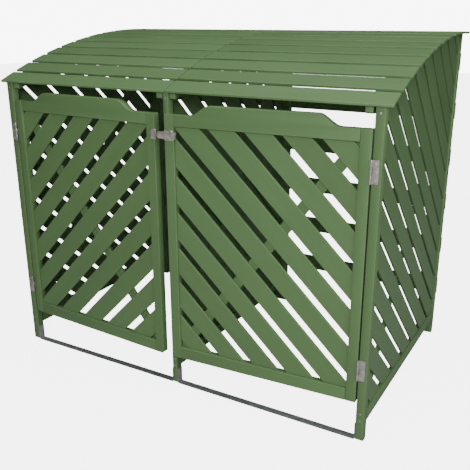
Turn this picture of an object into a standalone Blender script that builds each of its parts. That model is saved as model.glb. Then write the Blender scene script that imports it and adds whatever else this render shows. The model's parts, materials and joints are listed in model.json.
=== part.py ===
"""Double wheelie-bin store: painted timber frame, two slatted doors and two curved lids.

Units are metres. +Z is up, the doors face -Y and +X runs to the viewer's right when facing them.
The origin lies on the floor under the middle of the whole object's box.
"""
import math

import bmesh
import bpy
from mathutils import Vector

# ---------------------------------------------------------------- driving dimensions
POST_SPAN = 1.420          # across the outer faces of the side posts
FRAME_DEPTH = 0.877        # front face of the front posts to rear face of the rear posts
BOX_MIDDLE = 0.41911      # front post face to the middle of the whole object's depth
POST = 0.028               # side post at the front, square
CENTRE_POST_WIDTH = 0.020
REAR_POST_WIDTH = 0.0645   # the rear posts are flat: wide across the back, POST deep
FOOT_CHAMFER = 0.006
GAP = 0.0003               # air between two pieces that touch

PANEL_BOTTOM = 0.066       # lower edge of the side and divider panels
RAIL_HEIGHT = 0.040
PANEL_THICK = 0.020
SLAT_WIDTH = 0.0645
SLAT_THICK = 0.008
SLAT_RECESS = 0.004        # side slats lie this far behind the posts' outer faces
SMALLEST_SLAT = 1.5e-4     # corner offcuts with less face than this, in square metres, are left out
PANEL_PITCH = 0.0801       # between neighbouring panel slats, square to them
PANEL_SLOPE = math.radians(42.7)
# Height, at the front post face, of the middle of one panel gap.
PANEL_PHASE = {"left": 0.8701, "right": 0.9235, "divider": 0.8701}
BRACE_WIDTH = 0.036
DIVIDER_START = 0.050      # the divider's slats stop this far behind the front post face
COVER_TOP = 0.895          # the divider's second layer of slats reaches up to here

BACK_BOARD_HEIGHT = 0.062
BACK_BOARD_THICK = 0.009
BACK_BOARD_FIRST = 0.174   # lower edge of the lowest board
BACK_BOARD_PITCH = 0.1796
BACK_BOARDS = 6
REAR_RAIL_TOP = 1.1935
REAR_RAIL_HEIGHT = 0.034

HINGE_X = 0.6805           # door hinge pins, either side of the middle
PIN_PROUD = 0.0045         # pins stand this far in front of the post faces
DOOR_AJAR = math.radians(3.36)
DOOR_EDGE = 0.0023         # hinge pin to the door's hinge edge
DOOR_WIDTH = 0.662         # hinge pin to the door's free edge
DOOR_THICK = 0.025
DOOR_BOTTOM = 0.133
DOOR_RAIL_TOP = 0.175
DOOR_HEAD_BOTTOM = 0.9416
DOOR_HEAD_LOW = 0.978
DOOR_HEAD_HIGH = 1.011
DOOR_HEAD_FLAT = 0.090     # low flat at each end of the top rail
DOOR_HEAD_CURVE = 0.070    # S-curve between the low end and the raised middle
STILE = 0.0335
DOOR_PITCH = 0.0862
DOOR_PHASE = 0.049         # height at the hinge pin of the middle of one door gap
DOOR_SLAT_SETBACK = 0.006

LID_RADIUS = 2.000         # top of the lid slats, seen from the end
LID_CENTRE_Y = 0.7926      # behind the front post face
LID_CENTRE_Z = -0.7868
LID_START = math.radians(23.5975)
LID_STEP = math.radians(2.4352)
LID_SLATS = 11
LID_SLAT_GAP = 0.0150
LID_SLAT_THICK = 0.008
LID_END_X = 0.732
LID_SEAM = 0.0015          # each lid stops this far from the middle
RAFTER_DEPTH = 0.024
RAFTER_WIDTH = 0.023
RAFTER_INNER_X = 0.014
RAFTER_OUTER_X = 0.652
RAFTER_FRONT = 0.002
RAFTER_REAR = 0.845
LID_PIN_Y = 0.8825
LID_PIN_Z = 1.198

STRAP_THICK = 0.002
STRAP_WIDTH = 0.026
STRAP_TAB = 0.058

HINGE_LENGTH = 0.068
HINGE_LEAF = 0.022
HINGE_PLATE = 0.0015
KNUCKLE_RADIUS = 0.0035
DOOR_HINGE_Z = (0.248, 0.862)
LID_HINGE_X = (0.130, 0.560)

LATCH_Z = 0.9135
PLATE_HALF = 0.0165        # half height of the latch plates
BOLT_TIP = 0.687           # along the door from the hinge pin, drawn back
BOLT_TAIL = 0.6180
BOLT_HALF = 0.0110         # half height of the flat bolt
BOLT_THICK = 0.0035
BOLT_KNOB = 0.6290
BRIDGE_CLEAR = 0.0005      # running clearance between the bolt and its bridges
BRIDGE_WALL = 0.0015

PAINT = (0.129, 0.202, 0.090, 1.0)
STEEL = (0.36, 0.37, 0.38, 1.0)
NICKEL = (0.46, 0.43, 0.39, 1.0)


def front(distance):
    """World Y of a place measured back from the front post face."""
    return distance - BOX_MIDDLE


# ---------------------------------------------------------------- small tools
def make_material(name, colour, roughness, metallic):
    material = bpy.data.materials.new(name)
    material.use_nodes = True
    shader = material.node_tree.nodes["Principled BSDF"]
    shader.inputs["Base Color"].default_value = colour
    shader.inputs["Roughness"].default_value = roughness
    shader.inputs["Metallic"].default_value = metallic
    return material


def finish_material(name, kind):
    """A material of the part's own, in one of the three finishes."""
    colour, roughness, metallic = {
        "paint": (PAINT, 0.6, 0.0),
        "steel": (STEEL, 0.45, 0.9),
        "nickel": (NICKEL, 0.35, 0.9),
    }[kind]
    return make_material(name + "_finish", colour, roughness, metallic)


def place(axis, across, point):
    """Turn a 2-D outline point and a distance along the extrusion axis into 3-D."""
    first, second = point
    if axis == "X":
        return (across, first, second)
    if axis == "Y":
        return (first, across, second)
    return (first, second, across)


def prism_mesh(name, outlines, low, high, axis):
    """Closed prisms, one for each outline, extruded from low to high along the axis."""
    grid = bmesh.new()
    for outline in outlines:
        base = [grid.verts.new(place(axis, low, p)) for p in outline]
        lid = [grid.verts.new(place(axis, high, p)) for p in outline]
        grid.faces.new(base)
        grid.faces.new(lid[::-1])
        for i in range(len(outline)):
            j = (i + 1) % len(outline)
            grid.faces.new((base[i], lid[i], lid[j], base[j]))
    bmesh.ops.recalc_face_normals(grid, faces=grid.faces)
    mesh = bpy.data.meshes.new(name)
    grid.to_mesh(mesh)
    grid.free()
    return mesh


def add_object(name, mesh, kind, parent=None):
    """Put a mesh in the scene as one named part. Under a parent, the mesh is in its frame."""
    part = bpy.data.objects.new(name, mesh)
    bpy.context.scene.collection.objects.link(part)
    mesh.materials.clear()
    mesh.materials.append(finish_material(name, kind))
    part.parent = parent
    return part


def add_prism(name, outline, low, high, axis, kind="paint", parent=None):
    return add_object(name, prism_mesh(name, [outline], low, high, axis), kind, parent)


def cylinder_mesh(name, radius, low, high, axis, centre, sides=20):
    """A rod along one axis."""
    ring = [(centre[0] + radius * math.cos(2 * math.pi * i / sides),
             centre[1] + radius * math.sin(2 * math.pi * i / sides)) for i in range(sides)]
    return prism_mesh(name, [ring], low, high, axis)


def union(name, meshes):
    """Join overlapping closed meshes into one closed body."""
    base = bpy.data.objects.new(name + "_base", meshes[0])
    bpy.context.scene.collection.objects.link(base)
    helpers = [base]
    for i, mesh in enumerate(meshes[1:]):
        helper = bpy.data.objects.new("%s_add_%d" % (name, i), mesh)
        bpy.context.scene.collection.objects.link(helper)
        helpers.append(helper)
        join = base.modifiers.new("join_%d" % i, "BOOLEAN")
        join.operation = "UNION"
        join.solver = "EXACT"
        join.object = helper
    graph = bpy.context.evaluated_depsgraph_get()
    result = bpy.data.meshes.new_from_object(base.evaluated_get(graph))
    for helper in helpers:
        bpy.data.objects.remove(helper)
    result.name = name
    return result


def rectangle(a0, b0, a1, b1):
    return [(a0, b0), (a1, b0), (a1, b1), (a0, b1)]


def clip(polygon, normal, limit):
    """The part of a convex polygon where the dot product with normal is at most limit."""
    kept = []
    for i, p in enumerate(polygon):
        q = polygon[(i + 1) % len(polygon)]
        dp = p[0] * normal[0] + p[1] * normal[1] - limit
        dq = q[0] * normal[0] + q[1] * normal[1] - limit
        if dp <= 0:
            kept.append(p)
        if dp * dq < 0:
            t = dp / (dp - dq)
            kept.append((p[0] + t * (q[0] - p[0]), p[1] + t * (q[1] - p[1])))
    return kept


def strip(polygon, normal, low, high):
    """The band of a convex polygon between two parallel lines."""
    return clip(clip(polygon, normal, high), (-normal[0], -normal[1]), -low)


def area(polygon):
    total = 0.0
    for i, p in enumerate(polygon):
        q = polygon[(i + 1) % len(polygon)]
        total += p[0] * q[1] - q[0] * p[1]
    return abs(total) / 2


def slat_outlines(opening, normal, gap_middle, pitch):
    """Slanted slats that fill a convex opening, with one gap's middle line at gap_middle."""
    reach = [p[0] * normal[0] + p[1] * normal[1] for p in opening]
    first = math.floor((min(reach) - gap_middle) / pitch)
    last = math.ceil((max(reach) - gap_middle) / pitch)
    margin = (pitch - SLAT_WIDTH) / 2
    slats = []
    for k in range(first, last + 1):
        line = gap_middle + k * pitch
        outline = strip(opening, normal, line + margin, line + pitch - margin)
        if len(outline) > 2 and area(outline) > SMALLEST_SLAT:
            slats.append(outline)
    return slats


def brace_outline(opening, start, end):
    """A straight batten from one corner of an opening to the other, cut to the opening."""
    along = Vector((end[0] - start[0], end[1] - start[1])).normalized()
    normal = (-along.y, along.x)
    middle = start[0] * normal[0] + start[1] * normal[1]
    return strip(opening, normal, middle - BRACE_WIDTH / 2, middle + BRACE_WIDTH / 2)


# ---------------------------------------------------------------- the lids' curve
def lid_point(k, below=0.0):
    """Place on the lid's arc at slat line k, as (behind the front post face, height)."""
    angle = LID_START - k * LID_STEP
    radius = LID_RADIUS - below
    return (LID_CENTRE_Y - radius * math.sin(angle), LID_CENTRE_Z + radius * math.cos(angle))


def lid_height(distance, below=0.0):
    """Height of the arc, or of one lower by below, at a distance behind the post face."""
    radius = LID_RADIUS - below
    return LID_CENTRE_Z + math.sqrt(radius ** 2 - (LID_CENTRE_Y - distance) ** 2)


def arch_outline(start, end, below, steps=10):
    """Points on the arc from one distance to another, in the world's Y and Z."""
    points = []
    for i in range(steps + 1):
        distance = start + (end - start) * i / steps
        points.append((front(distance), lid_height(distance, below)))
    return points


# The chord of a slat dips under the arc by less than this.
CHORD_DIP = 0.0006
UNDER_LID = LID_SLAT_THICK + CHORD_DIP + GAP


# ---------------------------------------------------------------- frame
def build_post(name, x_low, x_high, distance):
    """An upright whose top is cut to the lids' curve and whose foot corners are chamfered."""
    y0, y1 = front(distance), front(distance + POST)
    outline = [
        (y0, FOOT_CHAMFER), (y0 + FOOT_CHAMFER, 0.0),
        (y1 - FOOT_CHAMFER, 0.0), (y1, FOOT_CHAMFER),
        (y1, lid_height(distance + POST, UNDER_LID)),
        (y0, lid_height(distance, UNDER_LID)),
    ]
    add_prism(name, outline, x_low, x_high, "X")


def build_panel(name, front_x, rear_x, rail_x, slat_x, brace_x, top_rail_x,
                slat_start=POST + GAP, cover_x=None):
    """One depth-direction panel: two posts, two rails and a slatted infill with its brace.

    With cover_x, a second layer of slats closes the gaps of the first below COVER_TOP.
    """
    build_post(name + "_front_post", *front_x, 0.0)
    build_post(name + "_rear_post", *rear_x, FRAME_DEPTH - POST)
    start, end = POST + GAP, FRAME_DEPTH - POST - GAP
    rail_top = PANEL_BOTTOM + RAIL_HEIGHT
    add_prism(name + "_bottom_rail",
              rectangle(front(start), PANEL_BOTTOM, front(end), rail_top),
              rail_x[0], rail_x[1], "X")
    upper = arch_outline(start, end, UNDER_LID)
    lower = arch_outline(start, end, UNDER_LID + RAIL_HEIGHT)
    add_prism(name + "_top_rail", upper + lower[::-1], top_rail_x[0], top_rail_x[1], "X")

    floor = rail_top + GAP
    sill = [(front(end), floor), (front(slat_start), floor)]
    normal = (math.sin(PANEL_SLOPE), math.cos(PANEL_SLOPE))
    gap_middle = front(0.0) * normal[0] + PANEL_PHASE[name] * normal[1]
    opening = arch_outline(slat_start, end, UNDER_LID) + sill
    slats = slat_outlines(opening, normal, gap_middle, PANEL_PITCH)
    clear = arch_outline(slat_start, end, UNDER_LID + RAIL_HEIGHT + GAP)
    brace = brace_outline(clear + sill, sill[1], clear[-1])
    layers = [prism_mesh("slats", slats, *slat_x, "X"),
              prism_mesh("brace", [brace], *brace_x, "X")]
    if cover_x:
        low_part = rectangle(front(slat_start), floor, front(end), COVER_TOP)
        cover = slat_outlines(low_part, normal, gap_middle + PANEL_PITCH / 2, PANEL_PITCH)
        layers.append(prism_mesh("cover", cover, *cover_x, "X"))
    add_object(name + "_slats", union(name + "_slats", layers), "paint")


def build_panels():
    """The two sides, and the divider between the bays, which has two layers of slats."""
    outer = POST_SPAN / 2
    inner = outer - POST
    slat_out = outer - SLAT_RECESS
    slat_in = slat_out - SLAT_THICK
    sink = 0.0004
    for name, side in (("left", -1), ("right", 1)):
        def band(a, b):
            return tuple(sorted((side * a, side * b)))
        build_panel(name, band(inner, outer), band(outer - REAR_POST_WIDTH, outer),
                    rail_x=band(outer - PANEL_THICK, outer),
                    slat_x=band(slat_in, slat_out),
                    brace_x=band(outer - PANEL_THICK, slat_in + sink),
                    top_rail_x=band(inner, slat_in - GAP))
    half = CENTRE_POST_WIDTH / 2
    face = SLAT_THICK - half
    build_panel("divider", (-half, half), (-REAR_POST_WIDTH / 2, REAR_POST_WIDTH / 2),
                rail_x=(-half, half),
                slat_x=(-half, face),
                brace_x=(face - 2 * sink, face + SLAT_THICK + sink),
                top_rail_x=(face + GAP, half),
                slat_start=DIVIDER_START,
                cover_x=(face - sink, face + SLAT_THICK))


def build_back():
    """Boards nailed across the rear posts, and the rail that carries the lid hinges."""
    y0 = front(FRAME_DEPTH + GAP)
    half = POST_SPAN / 2
    for i in range(BACK_BOARDS):
        low = BACK_BOARD_FIRST + i * BACK_BOARD_PITCH
        add_prism("back_board_%d" % (i + 1),
                  rectangle(-half, low, half, low + BACK_BOARD_HEIGHT),
                  y0, y0 + BACK_BOARD_THICK, "Y")
    inner = half - REAR_POST_WIDTH - GAP
    middle = REAR_POST_WIDTH / 2 + GAP
    for name, low, high in (("left", -inner, -middle), ("right", middle, inner)):
        add_prism(name + "_rear_rail",
                  rectangle(low, REAR_RAIL_TOP - REAR_RAIL_HEIGHT, high, REAR_RAIL_TOP),
                  front(FRAME_DEPTH - POST), front(FRAME_DEPTH), "Y")


def build_straps():
    """Steel straps across the floor of each bay, turned up and screwed to the posts."""
    y0 = front((POST - STRAP_WIDTH) / 2)
    outer = POST_SPAN / 2 - POST - GAP
    inner = CENTRE_POST_WIDTH / 2 + GAP
    lift = 0.0005
    top = lift + STRAP_TAB
    for name, low, high in (("left", -outer, -inner), ("right", inner, outer)):
        outline = [
            (low, lift), (high, lift), (high, top), (high - STRAP_THICK, top),
            (high - STRAP_THICK, lift + STRAP_THICK), (low + STRAP_THICK, lift + STRAP_THICK),
            (low + STRAP_THICK, top), (low, top),
        ]
        add_prism(name + "_floor_strap", outline, y0, y0 + STRAP_WIDTH, "Y", "steel")


# ---------------------------------------------------------------- hinges
def knuckles(name, spans, axis, centre):
    return [cylinder_mesh(name, KNUCKLE_RADIUS, a, b, axis, centre) for a, b in spans]


def thirds(middle):
    """Lengths of the three knuckles about a hinge's middle: lower, centre and upper."""
    half = HINGE_LENGTH / 2
    third = HINGE_LENGTH / 6
    return ((middle - half, middle - third - GAP), (middle - third, middle + third),
            (middle + third + GAP, middle + half))


def build_door_hinges(side_name, side, pivot):
    """Butt hinges: one leaf on the post's front face, one let into the door's edge."""
    pin_y = front(-PIN_PROUD)
    for level, z in zip(("lower", "upper"), DOOR_HINGE_Z):
        low, centre, high = thirds(z)
        span = (z - HINGE_LENGTH / 2, z + HINGE_LENGTH / 2)
        name = "%s_door_%s_hinge" % (side_name, level)
        post_face = front(-GAP)
        near, far = side * HINGE_X, side * (HINGE_X + HINGE_LEAF)
        # The post leaf meets only the outer knuckles, so it stops short of the middle one.
        clear = side * (HINGE_X + KNUCKLE_RADIUS + GAP)
        plate = [(clear, span[0]), (near, span[0]), (near, low[1]), (clear, low[1]),
                 (clear, high[0]), (near, high[0]), (near, span[1]), (far, span[1]),
                 (far, span[0])]
        leaf = union(name, [
            prism_mesh("plate", [plate], post_face - HINGE_PLATE, post_face, "Y")]
            + knuckles("knuckle", (low, high), "Z", (side * HINGE_X, pin_y)))
        add_object(name + "_post_leaf", leaf, "nickel")
        # In the pivot's frame the pin is at the origin and the door runs away from it.
        s0, s1 = -side * 0.0004, -side * (DOOR_EDGE - GAP)
        tongue = rectangle(min(s0, s1), 0.0, max(s0, s1), PIN_PROUD + DOOR_THICK - 0.002)
        leaf = union(name + "_door", [
            prism_mesh("plate", [tongue], centre[0], centre[1], "Z"),
            cylinder_mesh("knuckle", KNUCKLE_RADIUS, centre[0], centre[1], "Z", (0.0, 0.0))])
        add_object(name + "_door_leaf", leaf, "nickel", pivot)


def build_lid_hinges(side_name, side, pivot):
    """Butt hinges: one leaf on the rear rail's back face, one under the rear slat."""
    pin = (front(LID_PIN_Y), LID_PIN_Z)
    rear_face = front(FRAME_DEPTH + GAP)
    for place_name, x in zip(("inner", "outer"), LID_HINGE_X):
        low, centre, high = thirds(side * x)
        name = "%s_lid_%s_hinge" % (side_name, place_name)
        bottom = REAR_RAIL_TOP - REAR_RAIL_HEIGHT + 0.004
        top = LID_PIN_Z
        clear = LID_PIN_Z - KNUCKLE_RADIUS - GAP
        plate = [(low[0], bottom), (high[1], bottom), (high[1], top), (high[0], top),
                 (high[0], clear), (low[1], clear), (low[1], top), (low[0], top)]
        leaf = union(name, [
            prism_mesh("plate", [plate], rear_face, rear_face + 2 * HINGE_PLATE, "Y")]
            + knuckles("knuckle", (low, high), "X", pin))
        add_object(name + "_rail_leaf", leaf, "nickel")
        reach = -0.026
        plate = rectangle(reach, KNUCKLE_RADIUS - HINGE_PLATE, 0.0, KNUCKLE_RADIUS)
        leaf = union(name + "_lid", [
            prism_mesh("plate", [plate], centre[0], centre[1], "X"),
            cylinder_mesh("knuckle", KNUCKLE_RADIUS, centre[0], centre[1], "X", (0.0, 0.0))])
        add_object(name + "_lid_leaf", leaf, "nickel", pivot)


# ---------------------------------------------------------------- doors
def head_outline(side):
    """The top rail: low ends, an S-curve up at each side and a raised middle."""
    start, end = DOOR_EDGE + STILE + GAP, DOOR_WIDTH - STILE - GAP
    rise = DOOR_HEAD_HIGH - DOOR_HEAD_LOW
    left_foot = DOOR_EDGE + DOOR_HEAD_FLAT
    right_foot = DOOR_WIDTH - DOOR_HEAD_FLAT
    steps = 8
    top = []
    for i in range(steps + 1):
        t = i / steps
        height = DOOR_HEAD_LOW + rise * (1 - math.cos(math.pi * t)) / 2
        top.append((left_foot + DOOR_HEAD_CURVE * t, height))
    for i in range(steps + 1):
        t = i / steps
        height = DOOR_HEAD_LOW + rise * (1 + math.cos(math.pi * t)) / 2
        top.append((right_foot - DOOR_HEAD_CURVE * (1 - t), height))
    outline = [(start, DOOR_HEAD_BOTTOM), (start, DOOR_HEAD_LOW)] + top
    outline += [(end, DOOR_HEAD_LOW), (end, DOOR_HEAD_BOTTOM)]
    return [(-side * s, z) for s, z in outline]


def build_door(side_name, side, pivot):
    """A framed and braced door, in its pivot's frame: pin at the origin, face at PIN_PROUD."""
    face, rear = PIN_PROUD, PIN_PROUD + DOOR_THICK
    name = side_name + "_door"

    def band(s0, z0, s1, z1):
        return rectangle(min(-side * s0, -side * s1), z0, max(-side * s0, -side * s1), z1)

    for part, s0, s1 in (("hinge_stile", DOOR_EDGE, DOOR_EDGE + STILE),
                         ("latch_stile", DOOR_WIDTH - STILE, DOOR_WIDTH)):
        add_prism("%s_%s" % (name, part), band(s0, DOOR_BOTTOM, s1, DOOR_HEAD_LOW),
                  face, rear, "Y", parent=pivot)
    start, end = DOOR_EDGE + STILE + GAP, DOOR_WIDTH - STILE - GAP
    add_prism(name + "_bottom_rail", band(start, DOOR_BOTTOM, end, DOOR_RAIL_TOP),
              face, rear, "Y", parent=pivot)
    add_prism(name + "_top_rail", head_outline(side), face, rear, "Y", parent=pivot)

    opening = band(start, DOOR_RAIL_TOP + GAP, end, DOOR_HEAD_BOTTOM - GAP)
    half = math.sqrt(0.5)
    normal = (side * half, half)
    slats = slat_outlines(opening, normal, DOOR_PHASE * half, DOOR_PITCH)
    low_corner = (-side * end, DOOR_RAIL_TOP + GAP)
    high_corner = (-side * start, DOOR_HEAD_BOTTOM - GAP)
    brace = brace_outline(opening, low_corner, high_corner)
    slat_face = face + DOOR_SLAT_SETBACK
    sink = 0.0004
    body = union(name + "_slats", [
        prism_mesh("slats", slats, slat_face, slat_face + SLAT_THICK, "Y"),
        prism_mesh("brace", [brace], slat_face + SLAT_THICK - sink, rear, "Y"),
    ])
    add_object(name + "_slats", body, "paint", pivot)


def bridge_mesh(side, s0, s1, plate_face):
    """A bridge over the flat bolt: a U standing on its plate, open along the door."""
    inner = BOLT_HALF + BRIDGE_CLEAR
    outer = inner + BRIDGE_WALL
    foot = plate_face + HINGE_PLATE / 2
    under = plate_face - BOLT_THICK - 2 * BRIDGE_CLEAR
    outline = [
        (foot, LATCH_Z - outer), (under - BRIDGE_WALL, LATCH_Z - outer),
        (under - BRIDGE_WALL, LATCH_Z + outer), (foot, LATCH_Z + outer),
        (foot, LATCH_Z + inner), (under, LATCH_Z + inner),
        (under, LATCH_Z - inner), (foot, LATCH_Z - inner),
    ]
    low, high = sorted((-side * s0, -side * s1))
    return prism_mesh("bridge", [outline], low, high, "X")


def latch_plate(side, s0, s1, plate_face):
    low, high = sorted((-side * s0, -side * s1))
    plate = rectangle(low, LATCH_Z - PLATE_HALF, high, LATCH_Z + PLATE_HALF)
    return prism_mesh("plate", [plate], plate_face, plate_face + HINGE_PLATE, "Y")


def build_latch(left_pivot, right_pivot):
    """A flat sliding bolt on the right door and the keep it runs into on the left door."""
    plate_face = PIN_PROUD - GAP - HINGE_PLATE
    body = union("latch_body", [
        latch_plate(1, 0.6290, 0.6615, plate_face),
        bridge_mesh(1, 0.6490, 0.6610, plate_face)])
    add_object("latch_body", body, "nickel", right_pivot)
    keep = union("latch_keep", [
        latch_plate(-1, 0.6460, 0.6690, plate_face),
        bridge_mesh(-1, 0.6590, 0.6685, plate_face)])
    add_object("latch_keep", keep, "nickel", left_pivot)

    back = plate_face - BRIDGE_CLEAR
    slider = bpy.data.objects.new("latch_slide", None)
    bpy.context.scene.collection.objects.link(slider)
    slider.parent = right_pivot
    slider.location = (-BOLT_TAIL, back, LATCH_Z)
    length = BOLT_TIP - BOLT_TAIL
    nose = 0.006
    flat = [(0.0, -BOLT_HALF), (0.0, BOLT_HALF), (nose - length, BOLT_HALF),
            (-length, BOLT_HALF - nose), (-length, nose - BOLT_HALF), (nose - length, -BOLT_HALF)]
    bolt = union("latch_bolt", [
        prism_mesh("flat", [flat], -BOLT_THICK, 0.0, "Y"),
        prism_mesh("tab", [rectangle(-0.003, -BOLT_HALF, 0.0, BOLT_HALF)],
                   -0.012, -BOLT_THICK / 2, "Y"),
        cylinder_mesh("knob", 0.0055, -0.010, -BOLT_THICK / 2, "Y",
                      (BOLT_TAIL - BOLT_KNOB, 0.0))])
    add_object("latch_bolt", bolt, "nickel", slider)


# ---------------------------------------------------------------- lids
def rafter_outline(top_below):
    """A batten under the slats, following their curve, with its front lower corner cut."""
    start, end = RAFTER_FRONT, RAFTER_REAR
    upper = arch_outline(start, end, top_below)
    lower = arch_outline(start, end, UNDER_LID + RAFTER_DEPTH)
    cut = 0.007
    nose = [(front(start), lower[0][1] + cut), (front(start + cut), lid_height(
        start + cut, UNDER_LID + RAFTER_DEPTH))]
    return upper + lower[:0:-1] + nose[::-1]


def slat_section(k):
    """Section of lid slat k: a flat board on the chord of its stretch of the arc."""
    a, b = Vector(lid_point(k)), Vector(lid_point(k + 1))
    along = (b - a).normalized()
    down = Vector((along.y, -along.x)) * LID_SLAT_THICK
    rear = b - along * LID_SLAT_GAP
    return [(front(p.x), p.y) for p in (a, rear, rear + down, a + down)]


def to_pivot(outline):
    """Shift a (Y, Z) outline into the lid pivots' frame."""
    return [(y - front(LID_PIN_Y), z - LID_PIN_Z) for y, z in outline]


def build_lid(side_name, side, pivot):
    """Eleven slats on two curved rafters. The slats are one body with the outer rafter."""
    sections = [to_pivot(slat_section(k)) for k in range(LID_SLATS)]
    low, high = sorted((side * LID_SEAM, side * LID_END_X))
    outer = sorted((side * RAFTER_OUTER_X, side * (RAFTER_OUTER_X + RAFTER_WIDTH)))
    inner = sorted((side * RAFTER_INNER_X, side * (RAFTER_INNER_X + RAFTER_WIDTH)))
    sink = 0.0010
    body = union(side_name + "_lid_slats", [
        prism_mesh("slats", sections, low, high, "X"),
        prism_mesh("rafter", [to_pivot(rafter_outline(LID_SLAT_THICK - sink))], *outer, "X")])
    add_object(side_name + "_lid_slats", body, "paint", pivot)
    add_prism(side_name + "_lid_inner_rafter", to_pivot(rafter_outline(UNDER_LID)),
              *inner, "X", parent=pivot)


# ---------------------------------------------------------------- assembly
def make_pivot(name, location, turn=0.0):
    pivot = bpy.data.objects.new(name, None)
    bpy.context.scene.collection.objects.link(pivot)
    pivot.location = location
    pivot.rotation_euler = (0.0, 0.0, turn)
    return pivot


def main():
    for old in list(bpy.data.objects):
        bpy.data.objects.remove(old)
    build_panels()
    build_back()
    build_straps()
    door_pivots = []
    for side_name, side in (("left", -1), ("right", 1)):
        pivot = make_pivot(side_name + "_door_pivot",
                           (side * HINGE_X, front(-PIN_PROUD), 0.0), side * DOOR_AJAR)
        build_door(side_name, side, pivot)
        build_door_hinges(side_name, side, pivot)
        door_pivots.append(pivot)
        lid_pivot = make_pivot(side_name + "_lid_pivot", (0.0, front(LID_PIN_Y), LID_PIN_Z))
        build_lid(side_name, side, lid_pivot)
        build_lid_hinges(side_name, side, lid_pivot)
    build_latch(*door_pivots)


main()
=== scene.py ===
"""Double wheelie-bin store, dressed: painted slats and posts, steel straps, hinges and a latch.

Every size is in metres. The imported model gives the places; this script gives each board its
eased edges, its grain and its paint, and adds the nails and screws that hold them.
"""
from __future__ import annotations

import json
import logging
import math
from collections import defaultdict
from collections.abc import Callable, Iterable, Sequence
from dataclasses import dataclass, field
from enum import Enum

import bmesh
import bpy
import numpy as np
from mathutils import Matrix, Vector


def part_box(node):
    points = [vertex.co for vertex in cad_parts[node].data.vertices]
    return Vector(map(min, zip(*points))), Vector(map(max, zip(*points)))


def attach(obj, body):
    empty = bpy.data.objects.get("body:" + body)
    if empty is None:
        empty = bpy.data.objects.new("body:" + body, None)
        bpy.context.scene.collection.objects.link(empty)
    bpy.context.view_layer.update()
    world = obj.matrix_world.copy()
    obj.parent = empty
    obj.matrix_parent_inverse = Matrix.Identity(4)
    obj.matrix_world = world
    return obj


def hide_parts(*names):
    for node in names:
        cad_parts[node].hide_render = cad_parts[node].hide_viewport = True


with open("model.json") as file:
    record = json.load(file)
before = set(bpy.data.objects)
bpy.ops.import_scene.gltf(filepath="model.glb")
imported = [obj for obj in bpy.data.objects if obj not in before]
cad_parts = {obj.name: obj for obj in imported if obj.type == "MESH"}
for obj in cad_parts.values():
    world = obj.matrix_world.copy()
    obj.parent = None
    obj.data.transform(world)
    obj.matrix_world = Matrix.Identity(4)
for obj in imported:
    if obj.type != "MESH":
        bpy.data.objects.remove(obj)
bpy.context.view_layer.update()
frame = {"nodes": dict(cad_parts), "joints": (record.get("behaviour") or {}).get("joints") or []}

log = logging.getLogger("bin_store")

Outline = list[tuple[float, float]]


# ---------------------------------------------------------------- node graphs
@dataclass(frozen=True)
class Signal:
    """A number on its way through a node graph, which takes part in arithmetic."""

    graph: "Graph"
    socket: bpy.types.NodeSocket

    def _maths(self, operation: str, *values: "Signal | float") -> "Signal":
        """One Math node.

        Args:
            operation: the Math node's operation.
            values: its inputs in order.

        Returns:
            The node's result.
        """
        node = self.graph.node("ShaderNodeMath", {"operation": operation},
                               dict(enumerate(values)))
        return Signal(self.graph, node.outputs[0])

    def __add__(self, other: "Signal | float") -> "Signal":
        """The sum."""
        return self._maths("ADD", self, other)

    def __radd__(self, other: float) -> "Signal":
        """The sum, with a plain number first."""
        return self._maths("ADD", other, self)

    def __sub__(self, other: "Signal | float") -> "Signal":
        """The difference."""
        return self._maths("SUBTRACT", self, other)

    def __rsub__(self, other: float) -> "Signal":
        """The difference, with a plain number first."""
        return self._maths("SUBTRACT", other, self)

    def __mul__(self, other: "Signal | float") -> "Signal":
        """The product."""
        return self._maths("MULTIPLY", self, other)

    def __rmul__(self, other: float) -> "Signal":
        """The product, with a plain number first."""
        return self._maths("MULTIPLY", other, self)

    def __truediv__(self, other: "Signal | float") -> "Signal":
        """The quotient."""
        return self._maths("DIVIDE", self, other)

    def __abs__(self) -> "Signal":
        """The size without its sign."""
        return self._maths("ABSOLUTE", self)

    def sine(self) -> "Signal":
        """The sine of an angle in radians."""
        return self._maths("SINE", self)

    def cosine(self) -> "Signal":
        """The cosine of an angle in radians."""
        return self._maths("COSINE", self)

    def ramp(self, low: float, high: float) -> "Signal":
        """A smooth step from 0 at low to 1 at high.

        Args:
            low: where the step starts.
            high: where the step ends; below low for a falling step.

        Returns:
            The step's value, from 0 to 1.
        """
        falling = high < low
        ends = (0.0, 1.0) if not falling else (1.0, 0.0)
        node = self.graph.node("ShaderNodeMapRange", {"interpolation_type": "SMOOTHSTEP"}, {
            "Value": self, "From Min": min(low, high), "From Max": max(low, high),
            "To Min": ends[0], "To Max": ends[1]})
        return Signal(self.graph, node.outputs[0])


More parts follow.
